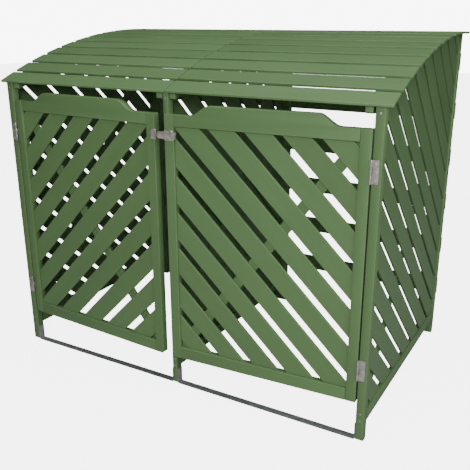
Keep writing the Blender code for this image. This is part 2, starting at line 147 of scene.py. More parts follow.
class Graph:
    """A node tree under construction, for a material or for geometry."""

    def __init__(self, tree: bpy.types.NodeTree) -> None:
        """Start from an empty tree."""
        self.tree = tree
        tree.nodes.clear()

    def node(self, kind: str, settings: dict | None = None,
             inputs: dict | None = None) -> bpy.types.Node:
        """Add a node.

        Args:
            kind: the node's type name.
            settings: its own properties, which are set first. "stops" gives a ramp's stops.
            inputs: a value or a link for each socket, by name or by number.

        Returns:
            The new node.
        """
        node = self.tree.nodes.new(kind)
        for name, value in (settings or {}).items():
            if name == "stops":
                self._set_stops(node.color_ramp, value)
            else:
                setattr(node, name, value)
        for name, value in (inputs or {}).items():
            self._feed(self.input(node, name), value)
        return node

    @staticmethod
    def _set_stops(ramp: bpy.types.ColorRamp, stops: Sequence[tuple]) -> None:
        """Place a ramp's stops, each a position and a colour."""
        while len(ramp.elements) < len(stops):
            ramp.elements.new(0.5)
        for element, (position, colour) in zip(ramp.elements, stops):
            element.position = position
            element.color = colour

    @staticmethod
    def input(node: bpy.types.Node, name: str | int) -> bpy.types.NodeSocket:
        """The node's input of that number, or the one in use with that name."""
        if isinstance(name, int):
            return node.inputs[name]
        return next(s for s in node.inputs if s.name == name and s.enabled)

    @staticmethod
    def output(node: bpy.types.Node) -> bpy.types.NodeSocket:
        """The node's first output in use."""
        return next(s for s in node.outputs if s.enabled)

    def _feed(self, socket: bpy.types.NodeSocket, value: object) -> None:
        """Link a signal, a socket or several sockets to an input, or set its value.

        Args:
            socket: the input.
            value: what it is fed with.
        """
        if isinstance(value, Signal):
            self.tree.links.new(value.socket, socket)
        elif isinstance(value, bpy.types.NodeSocket):
            self.tree.links.new(value, socket)
        elif isinstance(value, list):
            for each in value:
                self.tree.links.new(each, socket)
        else:
            socket.default_value = value

    def signal(self, kind: str, settings: dict | None = None,
               inputs: dict | None = None) -> Signal:
        """Add a node and take its first output as a number."""
        return Signal(self, self.output(self.node(kind, settings, inputs)))


# ---------------------------------------------------------------- finishes
@dataclass(frozen=True)
class PaintedTimber:
    """Softwood under satin paint: grain that telegraphs through, and edges rubbed pale."""

    name: str
    colour: tuple[float, float, float]
    roughness: float = 0.50
    tone_spread: float = 0.10
    wear: float = 0.35
    grain_depth: float = 0.00035

    def material(self) -> bpy.types.Material:
        """Build the material.

        Returns:
            A material that reads each board's own grain and board attributes.
        """
        made = bpy.data.materials.new(self.name)
        made.use_nodes = True
        graph = Graph(made.node_tree)
        grain = graph.node("ShaderNodeAttribute", {"attribute_name": "grain"}).outputs["Vector"]
        board = graph.node("ShaderNodeAttribute", {"attribute_name": "board"}).outputs["Vector"]
        across = self._part(graph, grain, "Y")
        half_width = self._part(graph, board, "Y")
        tone = self._part(graph, board, "Z")
        place = graph.node("ShaderNodeTexCoord").outputs["Object"]
        height = self._part(graph, place, "Z")

        fibres = self._streaks(graph, grain, tone, (2.2, 150.0, 150.0), detail=5.0)
        figure = self._streaks(graph, grain, tone, (1.1, 26.0, 26.0), detail=2.0)
        brush = self._streaks(graph, grain, tone, (5.0, 420.0, 420.0), detail=2.0)
        blotch = graph.signal("ShaderNodeTexNoise", None, {
            "Vector": place, "Scale": 5.5, "Detail": 3.0, "Roughness": 0.6})

        edge_gap = half_width - abs(across)
        rub = edge_gap.ramp(0.0042, 0.0002) * blotch.ramp(0.30, 0.72)
        # Darker, browner blotches towards the bottom, fading out by 0.2 m up.
        near_ground_mask = height.ramp(0.20, 0.0) * blotch.ramp(0.35, 0.75)

        shade = (1.0 + (tone - 0.5) * self.tone_spread + (fibres - 0.5) * 0.10
                 + (figure - 0.5) * 0.13 + (blotch - 0.5) * 0.10)
        body = self._scaled(graph, self.colour, shade)
        pale = tuple(c * 1.45 + 0.02 for c in self.colour)
        body = self._mixed(graph, rub * self.wear, body, pale)
        # The colour towards the bottom: a little redder, with less green and blue, so darker
        # overall.
        near_ground_colour = (self.colour[0] * 0.95 + 0.010, self.colour[1] * 0.85 + 0.006,
                 self.colour[2] * 0.85 + 0.004)
        body = self._mixed(graph, near_ground_mask * 0.45, body, near_ground_colour)

        rough = self.roughness + (fibres - 0.5) * 0.12 + (blotch - 0.5) * 0.10 + rub * 0.12
        relief = figure * 0.55 + fibres * 0.35 + brush * 0.10
        bump = graph.node("ShaderNodeBump", None, {
            "Strength": 0.55, "Distance": self.grain_depth, "Height": relief})
        shader = graph.node("ShaderNodeBsdfPrincipled", None, {
            "Base Color": body, "Roughness": rough, "Normal": bump.outputs[0],
            "Specular IOR Level": 0.42})
        graph.node("ShaderNodeOutputMaterial", None, {"Surface": shader.outputs[0]})
        return made

    @staticmethod
    def _part(graph: Graph, vector: bpy.types.NodeSocket, axis: str) -> Signal:
        """One component of a vector."""
        node = graph.node("ShaderNodeSeparateXYZ", None, {0: vector})
        return Signal(graph, node.outputs[axis])

    @staticmethod
    def _streaks(graph: Graph, grain: bpy.types.NodeSocket, tone: Signal,
                 scale: tuple[float, float, float], detail: float) -> Signal:
        """Noise drawn out along the board, different on each board.

        Args:
            graph: the material's graph.
            grain: the board's own coordinates.
            tone: the board's own random number.
            scale: how fine the noise is along, across and through the board.
            detail: how many finer layers it has.

        Returns:
            A number from 0 to 1.
        """
        stretched = graph.node("ShaderNodeVectorMath", {"operation": "MULTIPLY"},
                               {0: grain, 1: scale}).outputs[0]
        shift = graph.node("ShaderNodeCombineXYZ", None,
                           {"X": tone * 61.0, "Y": tone * 37.0}).outputs[0]
        moved = graph.node("ShaderNodeVectorMath", {"operation": "ADD"},
                           {0: stretched, 1: shift}).outputs[0]
        return graph.signal("ShaderNodeTexNoise", None, {
            "Vector": moved, "Scale": 1.0, "Detail": detail, "Roughness": 0.55,
            "Distortion": 0.25})

    @staticmethod
    def _scaled(graph: Graph, colour: Sequence[float], amount: Signal) -> bpy.types.NodeSocket:
        """A colour made lighter or darker by a factor."""
        node = graph.node("ShaderNodeVectorMath", {"operation": "SCALE"},
                          {0: tuple(colour), "Scale": amount})
        return node.outputs[0]

    @staticmethod
    def _mixed(graph: Graph, amount: Signal, first: bpy.types.NodeSocket,
               second: Sequence[float]) -> bpy.types.NodeSocket:
        """A blend from one colour to another."""
        node = graph.node("ShaderNodeMix", {"data_type": "RGBA"},
                          {"Factor": amount, "A": first, "B": (*second, 1.0)})
        return graph.output(node)


@dataclass(frozen=True)
class PlatedSteel:
    """Zinc or nickel plate on steel, dulled in patches and finely scratched."""

    name: str
    colour: tuple[float, float, float]
    dull: tuple[float, float, float]
    roughness: float = 0.34
    spangle: float = 0.0

    def material(self) -> bpy.types.Material:
        """Build the material.

        Returns:
            A metallic material with patches, scratches and, on galvanised strip, spangle.
        """
        made = bpy.data.materials.new(self.name)
        made.use_nodes = True
        graph = Graph(made.node_tree)
        place = graph.node("ShaderNodeTexCoord").outputs["Object"]
        patches = graph.signal("ShaderNodeTexNoise", None, {
            "Vector": place, "Scale": 60.0, "Detail": 4.0, "Roughness": 0.65})
        drawn = graph.node("ShaderNodeVectorMath", {"operation": "MULTIPLY"},
                           {0: place, 1: (60.0, 900.0, 900.0)}).outputs[0]
        scratches = graph.signal("ShaderNodeTexNoise", None, {
            "Vector": drawn, "Scale": 1.0, "Detail": 3.0, "Roughness": 0.6})
        crystals = graph.node("ShaderNodeTexVoronoi", None, {"Vector": place, "Scale": 170.0})
        flake = Signal(graph, graph.node("ShaderNodeSeparateColor", None, {
            0: crystals.outputs["Color"]}).outputs[0])
        mask = patches.ramp(0.38, 0.68)
        mixed = graph.node("ShaderNodeMix", {"data_type": "RGBA"}, {
            "Factor": mask, "A": (*self.colour, 1.0), "B": (*self.dull, 1.0)})
        lit = 1.0 + (flake - 0.5) * self.spangle + (scratches - 0.5) * 0.16
        body = graph.node("ShaderNodeVectorMath", {"operation": "SCALE"},
                          {0: graph.output(mixed), "Scale": lit}).outputs[0]
        rough = (self.roughness + mask * 0.16 + (flake - 0.5) * self.spangle * 0.4
                 + (scratches - 0.5) * 0.12)
        bump = graph.node("ShaderNodeBump", None, {
            "Strength": 0.35, "Distance": 0.00012, "Height": scratches * 0.7 + patches * 0.3})
        shader = graph.node("ShaderNodeBsdfPrincipled", None, {
            "Base Color": body, "Roughness": rough, "Metallic": 0.65,
            "Normal": bump.outputs[0]})
        graph.node("ShaderNodeOutputMaterial", None, {"Surface": shader.outputs[0]})
        return made


class Finish(Enum):
    """The finishes on the store, each with the record's slot that it goes by."""

    FRAME = ("frame_paint", PaintedTimber("frame_paint_green", (0.106, 0.194, 0.076)))
    DOOR = ("door_paint", PaintedTimber("door_paint_green", (0.110, 0.202, 0.079)))
    LID = ("lid_paint", PaintedTimber("lid_paint_green", (0.118, 0.214, 0.087), 0.54, 0.12,
                                      0.45))
    STRAP = ("galvanised_steel", PlatedSteel("galvanised_strip", (0.46, 0.48, 0.51),
                                             (0.30, 0.32, 0.34), 0.42, 0.30))
    HINGE = ("hinge_steel", PlatedSteel("hinge_plate", (0.50, 0.47, 0.45),
                                        (0.33, 0.30, 0.29), 0.36))
    LATCH = ("nickel", PlatedSteel("latch_nickel", (0.62, 0.58, 0.53),
                                   (0.42, 0.39, 0.35), 0.30))
    SCREW = ("nickel", PlatedSteel("screw_bright", (0.74, 0.73, 0.70),
                                   (0.50, 0.48, 0.45), 0.26))

    @property
    def slot(self) -> str:
        """The record's material slot."""
        return self.value[0]


class PaintShop:
    """Makes each finish's material once."""

    def __init__(self) -> None:
        """Start with nothing made."""
        self._made: dict[Finish, bpy.types.Material] = {}

    def material(self, finish: Finish) -> bpy.types.Material:
        """The finish's material, built on first use."""
        if finish not in self._made:
            self._made[finish] = finish.value[1].material()
        return self._made[finish]


PAINTS = PaintShop()


# ---------------------------------------------------------------- meshes
def prism(outlines: Iterable[Outline], low: float, high: float,
          place: Callable[[float, float, float], tuple]) -> bpy.types.Mesh:
    """Closed prisms on flat outlines.

    Args:
        outlines: each prism's outline, as points (a, b).
        low: where the prisms start along their depth.
        high: where they end.
        place: turns (a, b, depth) into a point.

    Returns:
        One mesh with every prism.
    """
    sheet = bmesh.new()
    for outline in outlines:
        base = [sheet.verts.new(place(a, b, low)) for a, b in outline]
        cap = [sheet.verts.new(place(a, b, high)) for a, b in outline]
        sheet.faces.new(base)
        sheet.faces.new(cap[::-1])
        for i in range(len(outline)):
            j = (i + 1) % len(outline)
            sheet.faces.new((base[i], cap[i], cap[j], base[j]))
    bmesh.ops.recalc_face_normals(sheet, faces=sheet.faces)
    mesh = bpy.data.meshes.new("prism")
    sheet.to_mesh(mesh)
    sheet.free()
    return mesh


def rounded_rectangle(a0: float, b0: float, a1: float, b1: float,
                      radii: Sequence[float], steps: int = 5) -> Outline:
    """A rectangle with its own radius at each corner.

    Args:
        a0, b0: the lowest corner.
        a1, b1: the highest corner.
        radii: radius at the corners (a0, b0), (a1, b0), (a1, b1) and (a0, b1).
        steps: straight pieces in each rounded corner.

    Returns:
        The outline, anticlockwise.
    """
    corners = ((a0, b0, 1, 1, 180), (a1, b0, -1, 1, 270), (a1, b1, -1, -1, 0), (a0, b1, 1, -1, 90))
    points: Outline = []
    for (a, b, da, db, start), radius in zip(corners, radii):
        if radius <= 0:
            points.append((a, b))
            continue
        for i in range(steps + 1):
            angle = math.radians(start + 90 * i / steps)
            points.append((a + da * radius + radius * math.cos(angle),
                           b + db * radius + radius * math.sin(angle)))
    return points


def copied(mesh: bpy.types.Mesh, place: Matrix | None = None) -> bpy.types.Mesh:
    """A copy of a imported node's mesh with its triangles joined into flat faces.

    Args:
        mesh: the node's mesh.
        place: a transform for the copy.

    Returns:
        The clean copy.
    """
    sheet = bmesh.new()
    sheet.from_mesh(mesh)
    if place is not None:
        sheet.transform(place)
    bmesh.ops.remove_doubles(sheet, verts=sheet.verts, dist=2.0e-5)
    bmesh.ops.dissolve_limit(sheet, angle_limit=math.radians(0.4), verts=sheet.verts,
                             edges=sheet.edges)
    clean = bpy.data.meshes.new("copy")
    sheet.to_mesh(clean)
    sheet.free()
    return clean


def flattened(mesh: bpy.types.Mesh) -> bpy.types.Mesh:
    """The same mesh with each flat side as one face."""
    return copied(mesh)


def eased(mesh: bpy.types.Mesh, radius: float, segments: int = 2,
          sharp: float = 28.0) -> bpy.types.Mesh:
    """The mesh with its arrises rounded over.

    Args:
        mesh: a closed mesh with flat sides.
        radius: how far the rounding reaches.
        segments: how many facets it has.
        sharp: edges that turn by more than this many degrees are rounded.

    Returns:
        A new mesh, smooth shaded over the rounding and flat on the sides.
    """
    helper = bpy.data.objects.new("easing", mesh)
    bpy.context.scene.collection.objects.link(helper)
    for polygon in mesh.polygons:
        polygon.use_smooth = True
    round_over = helper.modifiers.new("round_over", "BEVEL")
    round_over.width = radius
    round_over.segments = segments
    round_over.limit_method = "ANGLE"
    round_over.angle_limit = math.radians(sharp)
    round_over.use_clamp_overlap = True
    round_over.harden_normals = True
    made = baked(helper)
    bpy.data.objects.remove(helper)
    return made


def baked(obj: bpy.types.Object) -> bpy.types.Mesh:
    """A plain mesh of an object with its modifiers applied."""
    graph = bpy.context.evaluated_depsgraph_get()
    graph.update()
    return bpy.data.meshes.new_from_object(obj.evaluated_get(graph))


def points_of(mesh: bpy.types.Mesh) -> np.ndarray:
    """The mesh's points as rows of x, y and z."""
    flat = np.empty(len(mesh.vertices) * 3, np.float32)
    mesh.vertices.foreach_get("co", flat)
    return flat.reshape(-1, 3)


def tone_of(seed: float | np.ndarray) -> float | np.ndarray:
    """A repeatable random number from 0 to 1 for each seed."""
    wave = np.sin(np.asarray(seed, float) * 12.9898 + 4.137) * 43758.5453
    return wave - np.floor(wave)


def write_label(mesh: bpy.types.Mesh, grain: np.ndarray, board: np.ndarray) -> bpy.types.Mesh:
    """Store each point's place on its board, and its board's half length, half width and tone."""
    for name, rows in (("grain", grain), ("board", board)):
        store = mesh.attributes.get(name) or mesh.attributes.new(name, "FLOAT_VECTOR", "POINT")
        store.data.foreach_set("vector", rows.astype(np.float32).ravel())
    return mesh


def label_board(mesh: bpy.types.Mesh, along: Sequence[float], across: Sequence[float],
                seed: float) -> bpy.types.Mesh:
    """Label a mesh that is one straight board.

    Args:
        mesh: the board.
        along: the direction of its length.
        across: the direction of its width.
        seed: picks the board's tone.

    Returns:
        The same mesh.
    """
    axes = np.array([along, across, np.cross(along, across)], float)
    local = points_of(mesh) @ axes.T
    low, high = local.min(0), local.max(0)
    half = (high - low) / 2
    local -= (high + low) / 2
    tone = np.full(len(local), float(tone_of(seed)))
    board = np.stack([np.full(len(local), half[0]), np.full(len(local), half[1]), tone], 1)
    return write_label(mesh, local, board)


# ---------------------------------------------------------------- repeating trees
class RepeatTree:
    """A geometry tree with named inputs, run on a mesh and turned into a plain mesh."""

    def __init__(self, name: str, sockets: dict[str, str]) -> None:
        """Make the tree and its inputs.

        Args:
            name: the tree's name.
            sockets: each input's name and socket type.
        """
        self.group = bpy.data.node_groups.new(name, "GeometryNodeTree")
        self.graph = Graph(self.group)
        face = self.group.interface
        face.new_socket("Geometry", in_out="OUTPUT", socket_type="NodeSocketGeometry")
        face.new_socket("Geometry", in_out="INPUT", socket_type="NodeSocketGeometry")
        self.identifiers: dict[str, str] = {}
        for label, kind in sockets.items():
            made = face.new_socket(label, in_out="INPUT", socket_type=kind)
            self.identifiers[label] = made.identifier
        self.entry = self.graph.node("NodeGroupInput")

    def value(self, label: str) -> Signal:
        """An input as a number in the tree."""
        return Signal(self.graph, self.entry.outputs[label])

    def close(self, instances: bpy.types.NodeSocket) -> None:
        """Realise the instances, set their material and end the tree."""
        solid = self.graph.node("GeometryNodeRealizeInstances", None, {"Geometry": instances})
        painted = self.graph.node("GeometryNodeSetMaterial", None, {
            "Geometry": solid.outputs[0], "Material": self.entry.outputs["Material"]})
        self.graph.node("NodeGroupOutput", None, {0: painted.outputs[0]})

    def run(self, base: bpy.types.Mesh, values: dict[str, object]) -> bpy.types.Mesh:
        """Grow the tree on a mesh.

        Args:
            base: the mesh the tree starts from.
            values: a value for each named input.

        Returns:
            The grown mesh.
        """
        helper = bpy.data.objects.new("growing", base)
        grow = helper.modifiers.new("grow", "NODES")
        grow.node_group = self.group
        for label, value in values.items():
            grow[self.identifiers[label]] = value
        bpy.context.scene.collection.objects.link(helper)
        made = baked(helper)
        bpy.data.objects.remove(helper)
        return made


def opening_tree() -> RepeatTree:
    """Slanted slats at an even pitch, cut to the opening that the tree is run on.

    Returns:
        The tree, ready to be run.
    """
    tree = RepeatTree("slats_across_opening", {
        "Count": "NodeSocketInt", "Pitch": "NodeSocketFloat", "First": "NodeSocketFloat",
        "Slope": "NodeSocketFloat", "Length": "NodeSocketFloat", "Width": "NodeSocketFloat",
        "Thickness": "NodeSocketFloat", "Face": "NodeSocketFloat",
        "Material": "NodeSocketMaterial"})
    graph = tree.graph
    slope, pitch, first = tree.value("Slope"), tree.value("Pitch"), tree.value("First")
    rise_x, rise_z = slope.sine() * -1.0, slope.cosine()
    start = graph.node("ShaderNodeCombineXYZ", None, {
        "X": rise_x * first, "Y": tree.value("Face"), "Z": rise_z * first})
    step = graph.node("ShaderNodeCombineXYZ", None, {"X": rise_x * pitch, "Z": rise_z * pitch})
    line = graph.node("GeometryNodeMeshLine", {"mode": "OFFSET"}, {
        "Count": tree.value("Count"), "Start Location": start.outputs[0],
        "Offset": step.outputs[0]})
    size = graph.node("ShaderNodeCombineXYZ", None, {
        "X": tree.value("Length"), "Y": tree.value("Thickness"), "Z": tree.value("Width")})
    slat = graph.node("GeometryNodeMeshCube", None, {"Size": size.outputs[0]})
    turn = graph.node("ShaderNodeCombineXYZ", None, {"Y": slope * -1.0})
    row = graph.node("GeometryNodeInstanceOnPoints", None, {
        "Points": line.outputs[0], "Instance": slat.outputs["Mesh"],
        "Rotation": turn.outputs[0]})
    solid = graph.node("GeometryNodeRealizeInstances", None, {"Geometry": row.outputs[0]})
    cut = graph.node("GeometryNodeMeshBoolean", {"operation": "INTERSECT", "solver": "EXACT"}, {
        "Mesh": [solid.outputs[0], tree.entry.outputs["Geometry"]]})
    tree.close(cut.outputs["Mesh"])
    return tree


def arc_tree() -> RepeatTree:
    """Copies of one board laid side by side over an arc, from the front to the rear.

    Returns:
        The tree, ready to be run.
    """
    tree = RepeatTree("boards_over_arc", {
        "Count": "NodeSocketInt", "Start": "NodeSocketFloat", "Step": "NodeSocketFloat",
        "Radius": "NodeSocketFloat", "Centre Y": "NodeSocketFloat",
        "Centre Z": "NodeSocketFloat", "Seed": "NodeSocketInt",
        "Material": "NodeSocketMaterial"})
    graph = tree.graph
    index = graph.signal("GeometryNodeInputIndex")
    angle = tree.value("Start") - (index + 0.5) * tree.value("Step")
    radius = tree.value("Radius")
    place = graph.node("ShaderNodeCombineXYZ", None, {
        "Y": tree.value("Centre Y") - radius * angle.sine(),
        "Z": tree.value("Centre Z") + radius * angle.cosine()})
    spots = graph.node("GeometryNodePoints", None, {
        "Count": tree.value("Count"), "Position": place.outputs[0]})
    turn = graph.node("ShaderNodeCombineXYZ", None, {"X": angle})
    row = graph.node("GeometryNodeInstanceOnPoints", None, {
        "Points": spots.outputs[0], "Instance": tree.entry.outputs["Geometry"],
        "Rotation": turn.outputs[0]})
    tree.close(with_tone(tree, row.outputs[0]))
    return tree


def row_tree() -> RepeatTree:
    """Copies of one board at an even pitch in a straight row.

    Returns:
        The tree, ready to be run.
    """
    tree = RepeatTree("boards_in_row", {
        "Count": "NodeSocketInt", "Pitch": "NodeSocketFloat", "Seed": "NodeSocketInt",
        "Material": "NodeSocketMaterial"})
    graph = tree.graph
    step = graph.node("ShaderNodeCombineXYZ", None, {"Z": tree.value("Pitch")})
    line = graph.node("GeometryNodeMeshLine", {"mode": "OFFSET"}, {
        "Count": tree.value("Count"), "Offset": step.outputs[0]})
    row = graph.node("GeometryNodeInstanceOnPoints", None, {
        "Points": line.outputs[0], "Instance": tree.entry.outputs["Geometry"]})
    tree.close(with_tone(tree, row.outputs[0]))
    return tree


def with_tone(tree: RepeatTree, row: bpy.types.NodeSocket) -> bpy.types.NodeSocket:
    """Give each instance a random tone from the tree's seed.

    Args:
        tree: the tree, which has a Seed input.
        row: its instances.

    Returns:
        The instances with the tone stored.
    """
    chance = tree.graph.node("FunctionNodeRandomValue", {"data_type": "FLOAT"}, {
        "Min": 0.0, "Max": 1.0, "Seed": tree.value("Seed")})
    stored = tree.graph.node(
        "GeometryNodeStoreNamedAttribute", {"data_type": "FLOAT", "domain": "INSTANCE"}, {
            "Geometry": row, "Name": "tone", "Value": tree.graph.output(chance)})
    return stored.outputs[0]


def fixing_tree() -> RepeatTree:
    """One screw or nail head at each point, square to the surface and turned at random.

    Returns:
        The tree, ready to be run.
    """
    tree = RepeatTree("heads_on_points", {
        "Head": "NodeSocketObject", "Seed": "NodeSocketInt", "Material": "NodeSocketMaterial"})
    graph = tree.graph
    facing = graph.node("GeometryNodeInputNamedAttribute", {"data_type": "FLOAT_VECTOR"},
                        {"Name": "facing"})
    aimed = graph.node("FunctionNodeAlignRotationToVector", {"axis": "Z"}, {
        "Vector": graph.output(facing)})
    chance = graph.node("FunctionNodeRandomValue", {"data_type": "FLOAT"}, {
        "Min": 0.0, "Max": math.tau, "Seed": tree.value("Seed")})
    spin = graph.node("FunctionNodeAxisAngleToRotation", None, {
        "Axis": (0.0, 0.0, 1.0), "Angle": graph.output(chance)})
    turned = graph.node("FunctionNodeRotateRotation", {"rotation_space": "LOCAL"}, {
        "Rotation": aimed.outputs[0], "Rotate By": spin.outputs[0]})
    head = graph.node("GeometryNodeObjectInfo", None, {"Object": tree.entry.outputs["Head"]})
    heads = graph.node("GeometryNodeInstanceOnPoints", None, {
        "Points": tree.entry.outputs["Geometry"], "Instance": head.outputs["Geometry"],
        "Rotation": turned.outputs[0]})
    tree.close(heads.outputs[0])
    return tree


# ---------------------------------------------------------------- pieces
def add_piece(name: str, mesh: bpy.types.Mesh, finish: Finish, body: str,
              nodes: Sequence[str] = ()) -> bpy.types.Object:
    """Show a finished mesh as one piece of the store.

    Args:
        name: the piece's name.
        mesh: its mesh, in place.
        finish: its finish.
        body: the body it moves with.
        nodes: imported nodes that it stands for.

    Returns:
        The piece.
    """
    mesh.name = name
    mesh.materials.clear()
    mesh.materials.append(PAINTS.material(finish))
    for polygon in mesh.polygons:
        polygon.material_index = 0
    obj = bpy.data.objects.new(name, mesh)
    bpy.context.scene.collection.objects.link(obj)
    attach(obj, body)
    finish.slot
    if nodes:
        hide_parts(*nodes)
    log.info("%s: %d faces on %s", name, len(mesh.polygons), body)
    return obj


@dataclass(frozen=True)
class Seat:
    """Where a sub-assembly sits: a transform from its own frame to the store's."""

    matrix: Matrix = field(default_factory=lambda: Matrix.Identity(4))

    def node(self, name: str) -> bpy.types.Mesh:
        """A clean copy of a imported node's mesh, in this seat's own frame."""
        return copied(frame["nodes"][name].data, self.matrix.inverted())

    def box(self, name: str) -> tuple[np.ndarray, np.ndarray]:
        """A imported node's lowest and highest corners in this seat's own frame."""
        points = points_of(self.node(name))
        return points.min(0).astype(float), points.max(0).astype(float)

    def point(self, place: Sequence[float]) -> Vector:
        """A point of the seat's frame, in the store's."""
        return self.matrix @ Vector(place)

    def direction(self, way: Sequence[float]) -> Vector:
        """A direction of the seat's frame, in the store's."""
        return self.matrix.to_3x3() @ Vector(way)

    def settle(self, mesh: bpy.types.Mesh) -> bpy.types.Mesh:
        """Move a mesh from the seat's frame into the store's."""
        mesh.transform(self.matrix)
        return mesh


class Head(Enum):
    """Kinds of fixing: finish, radius and how proud the head stands."""

    NAIL_FRAME = (Finish.FRAME, 0.0026, 0.0003)
    NAIL_DOOR = (Finish.DOOR, 0.0026, 0.0003)
    NAIL_LID = (Finish.LID, 0.0028, 0.0003)
    ZINC = (Finish.STRAP, 0.0034, 0.0008)
    BRIGHT = (Finish.SCREW, 0.0031, 0.0007)


class Fixings:
    """Collects nails and screws, then makes one mesh of each kind for each body."""

    SEED = 7

    def __init__(self) -> None:
        """Start with none."""
        self.tree = fixing_tree()
        self.spots: dict[tuple[str, Head], list[tuple[Vector, Vector]]] = defaultdict(list)

    def add(self, body: str, head: Head, seat: Seat, place: Sequence[float],
            facing: Sequence[float]) -> None:
        """Put in one fixing.

        Args:
            body: the body it holds on to.
            head: its kind.
            seat: the frame that place and facing are given in.
            place: the point on the surface.
            facing: the surface's outward direction.
        """
        self.spots[(body, head)].append((seat.point(place), seat.direction(facing)))

    @staticmethod
    def head_mesh(radius: float, proud: float, slotted: bool) -> bpy.types.Mesh:
        """A shallow domed head, with a cross recess if it is a screw.

        Args:
            radius: the head's radius.
            proud: how far it stands above the surface.
            slotted: whether it has the recess.

        Returns:
            A closed mesh with its axis along Z and its seat just below zero.
        """
        sheet = bmesh.new()
        sides = 16
        rings = ((1.0, -0.0002), (0.97, proud * 0.55), (0.78, proud * 0.92), (0.50, proud))
        loops = []
        for share, height in rings:
            loops.append([sheet.verts.new((radius * share * math.cos(math.tau * i / sides),
                                           radius * share * math.sin(math.tau * i / sides),
                                           height)) for i in range(sides)])
        for lower, upper in zip(loops, loops[1:]):
            for i in range(sides):
                j = (i + 1) % sides
                sheet.faces.new((lower[i], lower[j], upper[j], upper[i]))
        sheet.faces.new(loops[0][::-1])
        inner = loops[-1]
        depth = proud * (0.15 if slotted else 0.98)
        star = []
        for i in range(sides):
            reach = 0.48 if i % 4 == 0 or not slotted else 0.16
            star.append(sheet.verts.new((radius * reach * math.cos(math.tau * i / sides),
                                         radius * reach * math.sin(math.tau * i / sides),
                                         depth)))
        for i in range(sides):
            j = (i + 1) % sides
            sheet.faces.new((inner[i], inner[j], star[j], star[i]))
        sheet.faces.new(star)
        bmesh.ops.recalc_face_normals(sheet, faces=sheet.faces)
        mesh = bpy.data.meshes.new("head")
        sheet.to_mesh(mesh)
        sheet.free()
        return mesh

    def build(self) -> None:
        """Make every collected fixing."""
        for head in Head:
            finish, radius, proud = head.value
            slotted = head in (Head.ZINC, Head.BRIGHT)
            pattern = bpy.data.objects.new("head_pattern",
                                           self.head_mesh(radius, proud, slotted))
            for (body, kind), spots in sorted(self.spots.items(), key=lambda s: s[0][0]):
                if kind is not head:
                    continue
                base = bpy.data.meshes.new("spots")
                base.from_pydata([tuple(p) for p, _ in spots], [], [])
                facing = base.attributes.new("facing", "FLOAT_VECTOR", "POINT")
                facing.data.foreach_set("vector", [c for _, n in spots for c in n])
                mesh = self.tree.run(base, {
                    "Head": pattern, "Seed": self.SEED, "Material": PAINTS.material(finish)})
                self._label(mesh)
                add_piece(f"{body}_{head.name.lower()}s", mesh, finish, body)
            bpy.data.objects.remove(pattern)

    @staticmethod
    def _label(mesh: bpy.types.Mesh) -> None:
        """Give painted heads a place in the grain, away from any edge."""
        points = points_of(mesh)
        board = np.tile([1.0, 1.0, 0.5], (len(points), 1))
        write_label(mesh, points * (1.0, 0.2, 1.0), board)


# ---------------------------------------------------------------- slatted infill
@dataclass(frozen=True)
class SlatRule:
    """How the slats of one panel run: in the panel's own frame, X across and Z up."""

    slope: float
    pitch: float
    gap_at: float
    width: float = 0.0645
    thickness: float = 0.008
    seed: int = 1

    @property
    def along(self) -> Vector:
        """The direction of the slats."""
        return Vector((math.cos(self.slope), 0.0, math.sin(self.slope)))

    @property
    def normal(self) -> Vector:
        """The direction from one slat to the next."""
        return Vector((-math.sin(self.slope), 0.0, math.cos(self.slope)))

    def middles(self, low: float, high: float) -> list[float]:
        """The middle lines of the slats that cross a stretch along the normal."""
        first = math.floor((low - self.gap_at) / self.pitch)
        last = math.ceil((high - self.gap_at) / self.pitch)
        return [self.gap_at + (k + 0.5) * self.pitch for k in range(first, last)]

    def label(self, mesh: bpy.types.Mesh) -> bpy.types.Mesh:
        """Label every slat of a mesh by the rule.

        Args:
            mesh: slats laid by the rule, in the panel's own frame.

        Returns:
            The same mesh.
        """
        points = points_of(mesh).astype(float)
        rise = points @ np.array(self.normal)
        index = np.floor((rise - self.gap_at) / self.pitch)
        across = rise - self.gap_at - (index + 0.5) * self.pitch
        along = points @ np.array(self.along)
        grain = np.stack([along, across, points[:, 1]], 1)
        tone = tone_of(index + self.seed * 17.0)
        board = np.stack([np.full(len(points), 9.0),
                          np.full(len(points), self.width / 2), tone], 1)
        return write_label(mesh, grain, board)


def run_on_line(outline: Outline, normal: Vector, along: Vector,
                offset: float) -> tuple[float, float] | None:
    """Where a straight line crosses a convex outline.

    Args:
        outline: the outline in X and Z.
        normal: the line's normal.
        along: the line's direction.
        offset: its distance along the normal.

    Returns:
        The distances along the line at which it enters and leaves, or None.
    """
    hits = []
    for i, (x0, z0) in enumerate(outline):
        x1, z1 = outline[(i + 1) % len(outline)]
        d0 = x0 * normal.x + z0 * normal.z - offset
        d1 = x1 * normal.x + z1 * normal.z - offset
        if d0 * d1 < 0:
            t = d0 / (d0 - d1)
            hits.append((x0 + t * (x1 - x0)) * along.x + (z0 + t * (z1 - z0)) * along.z)
    return (min(hits), max(hits)) if len(hits) >= 2 else None


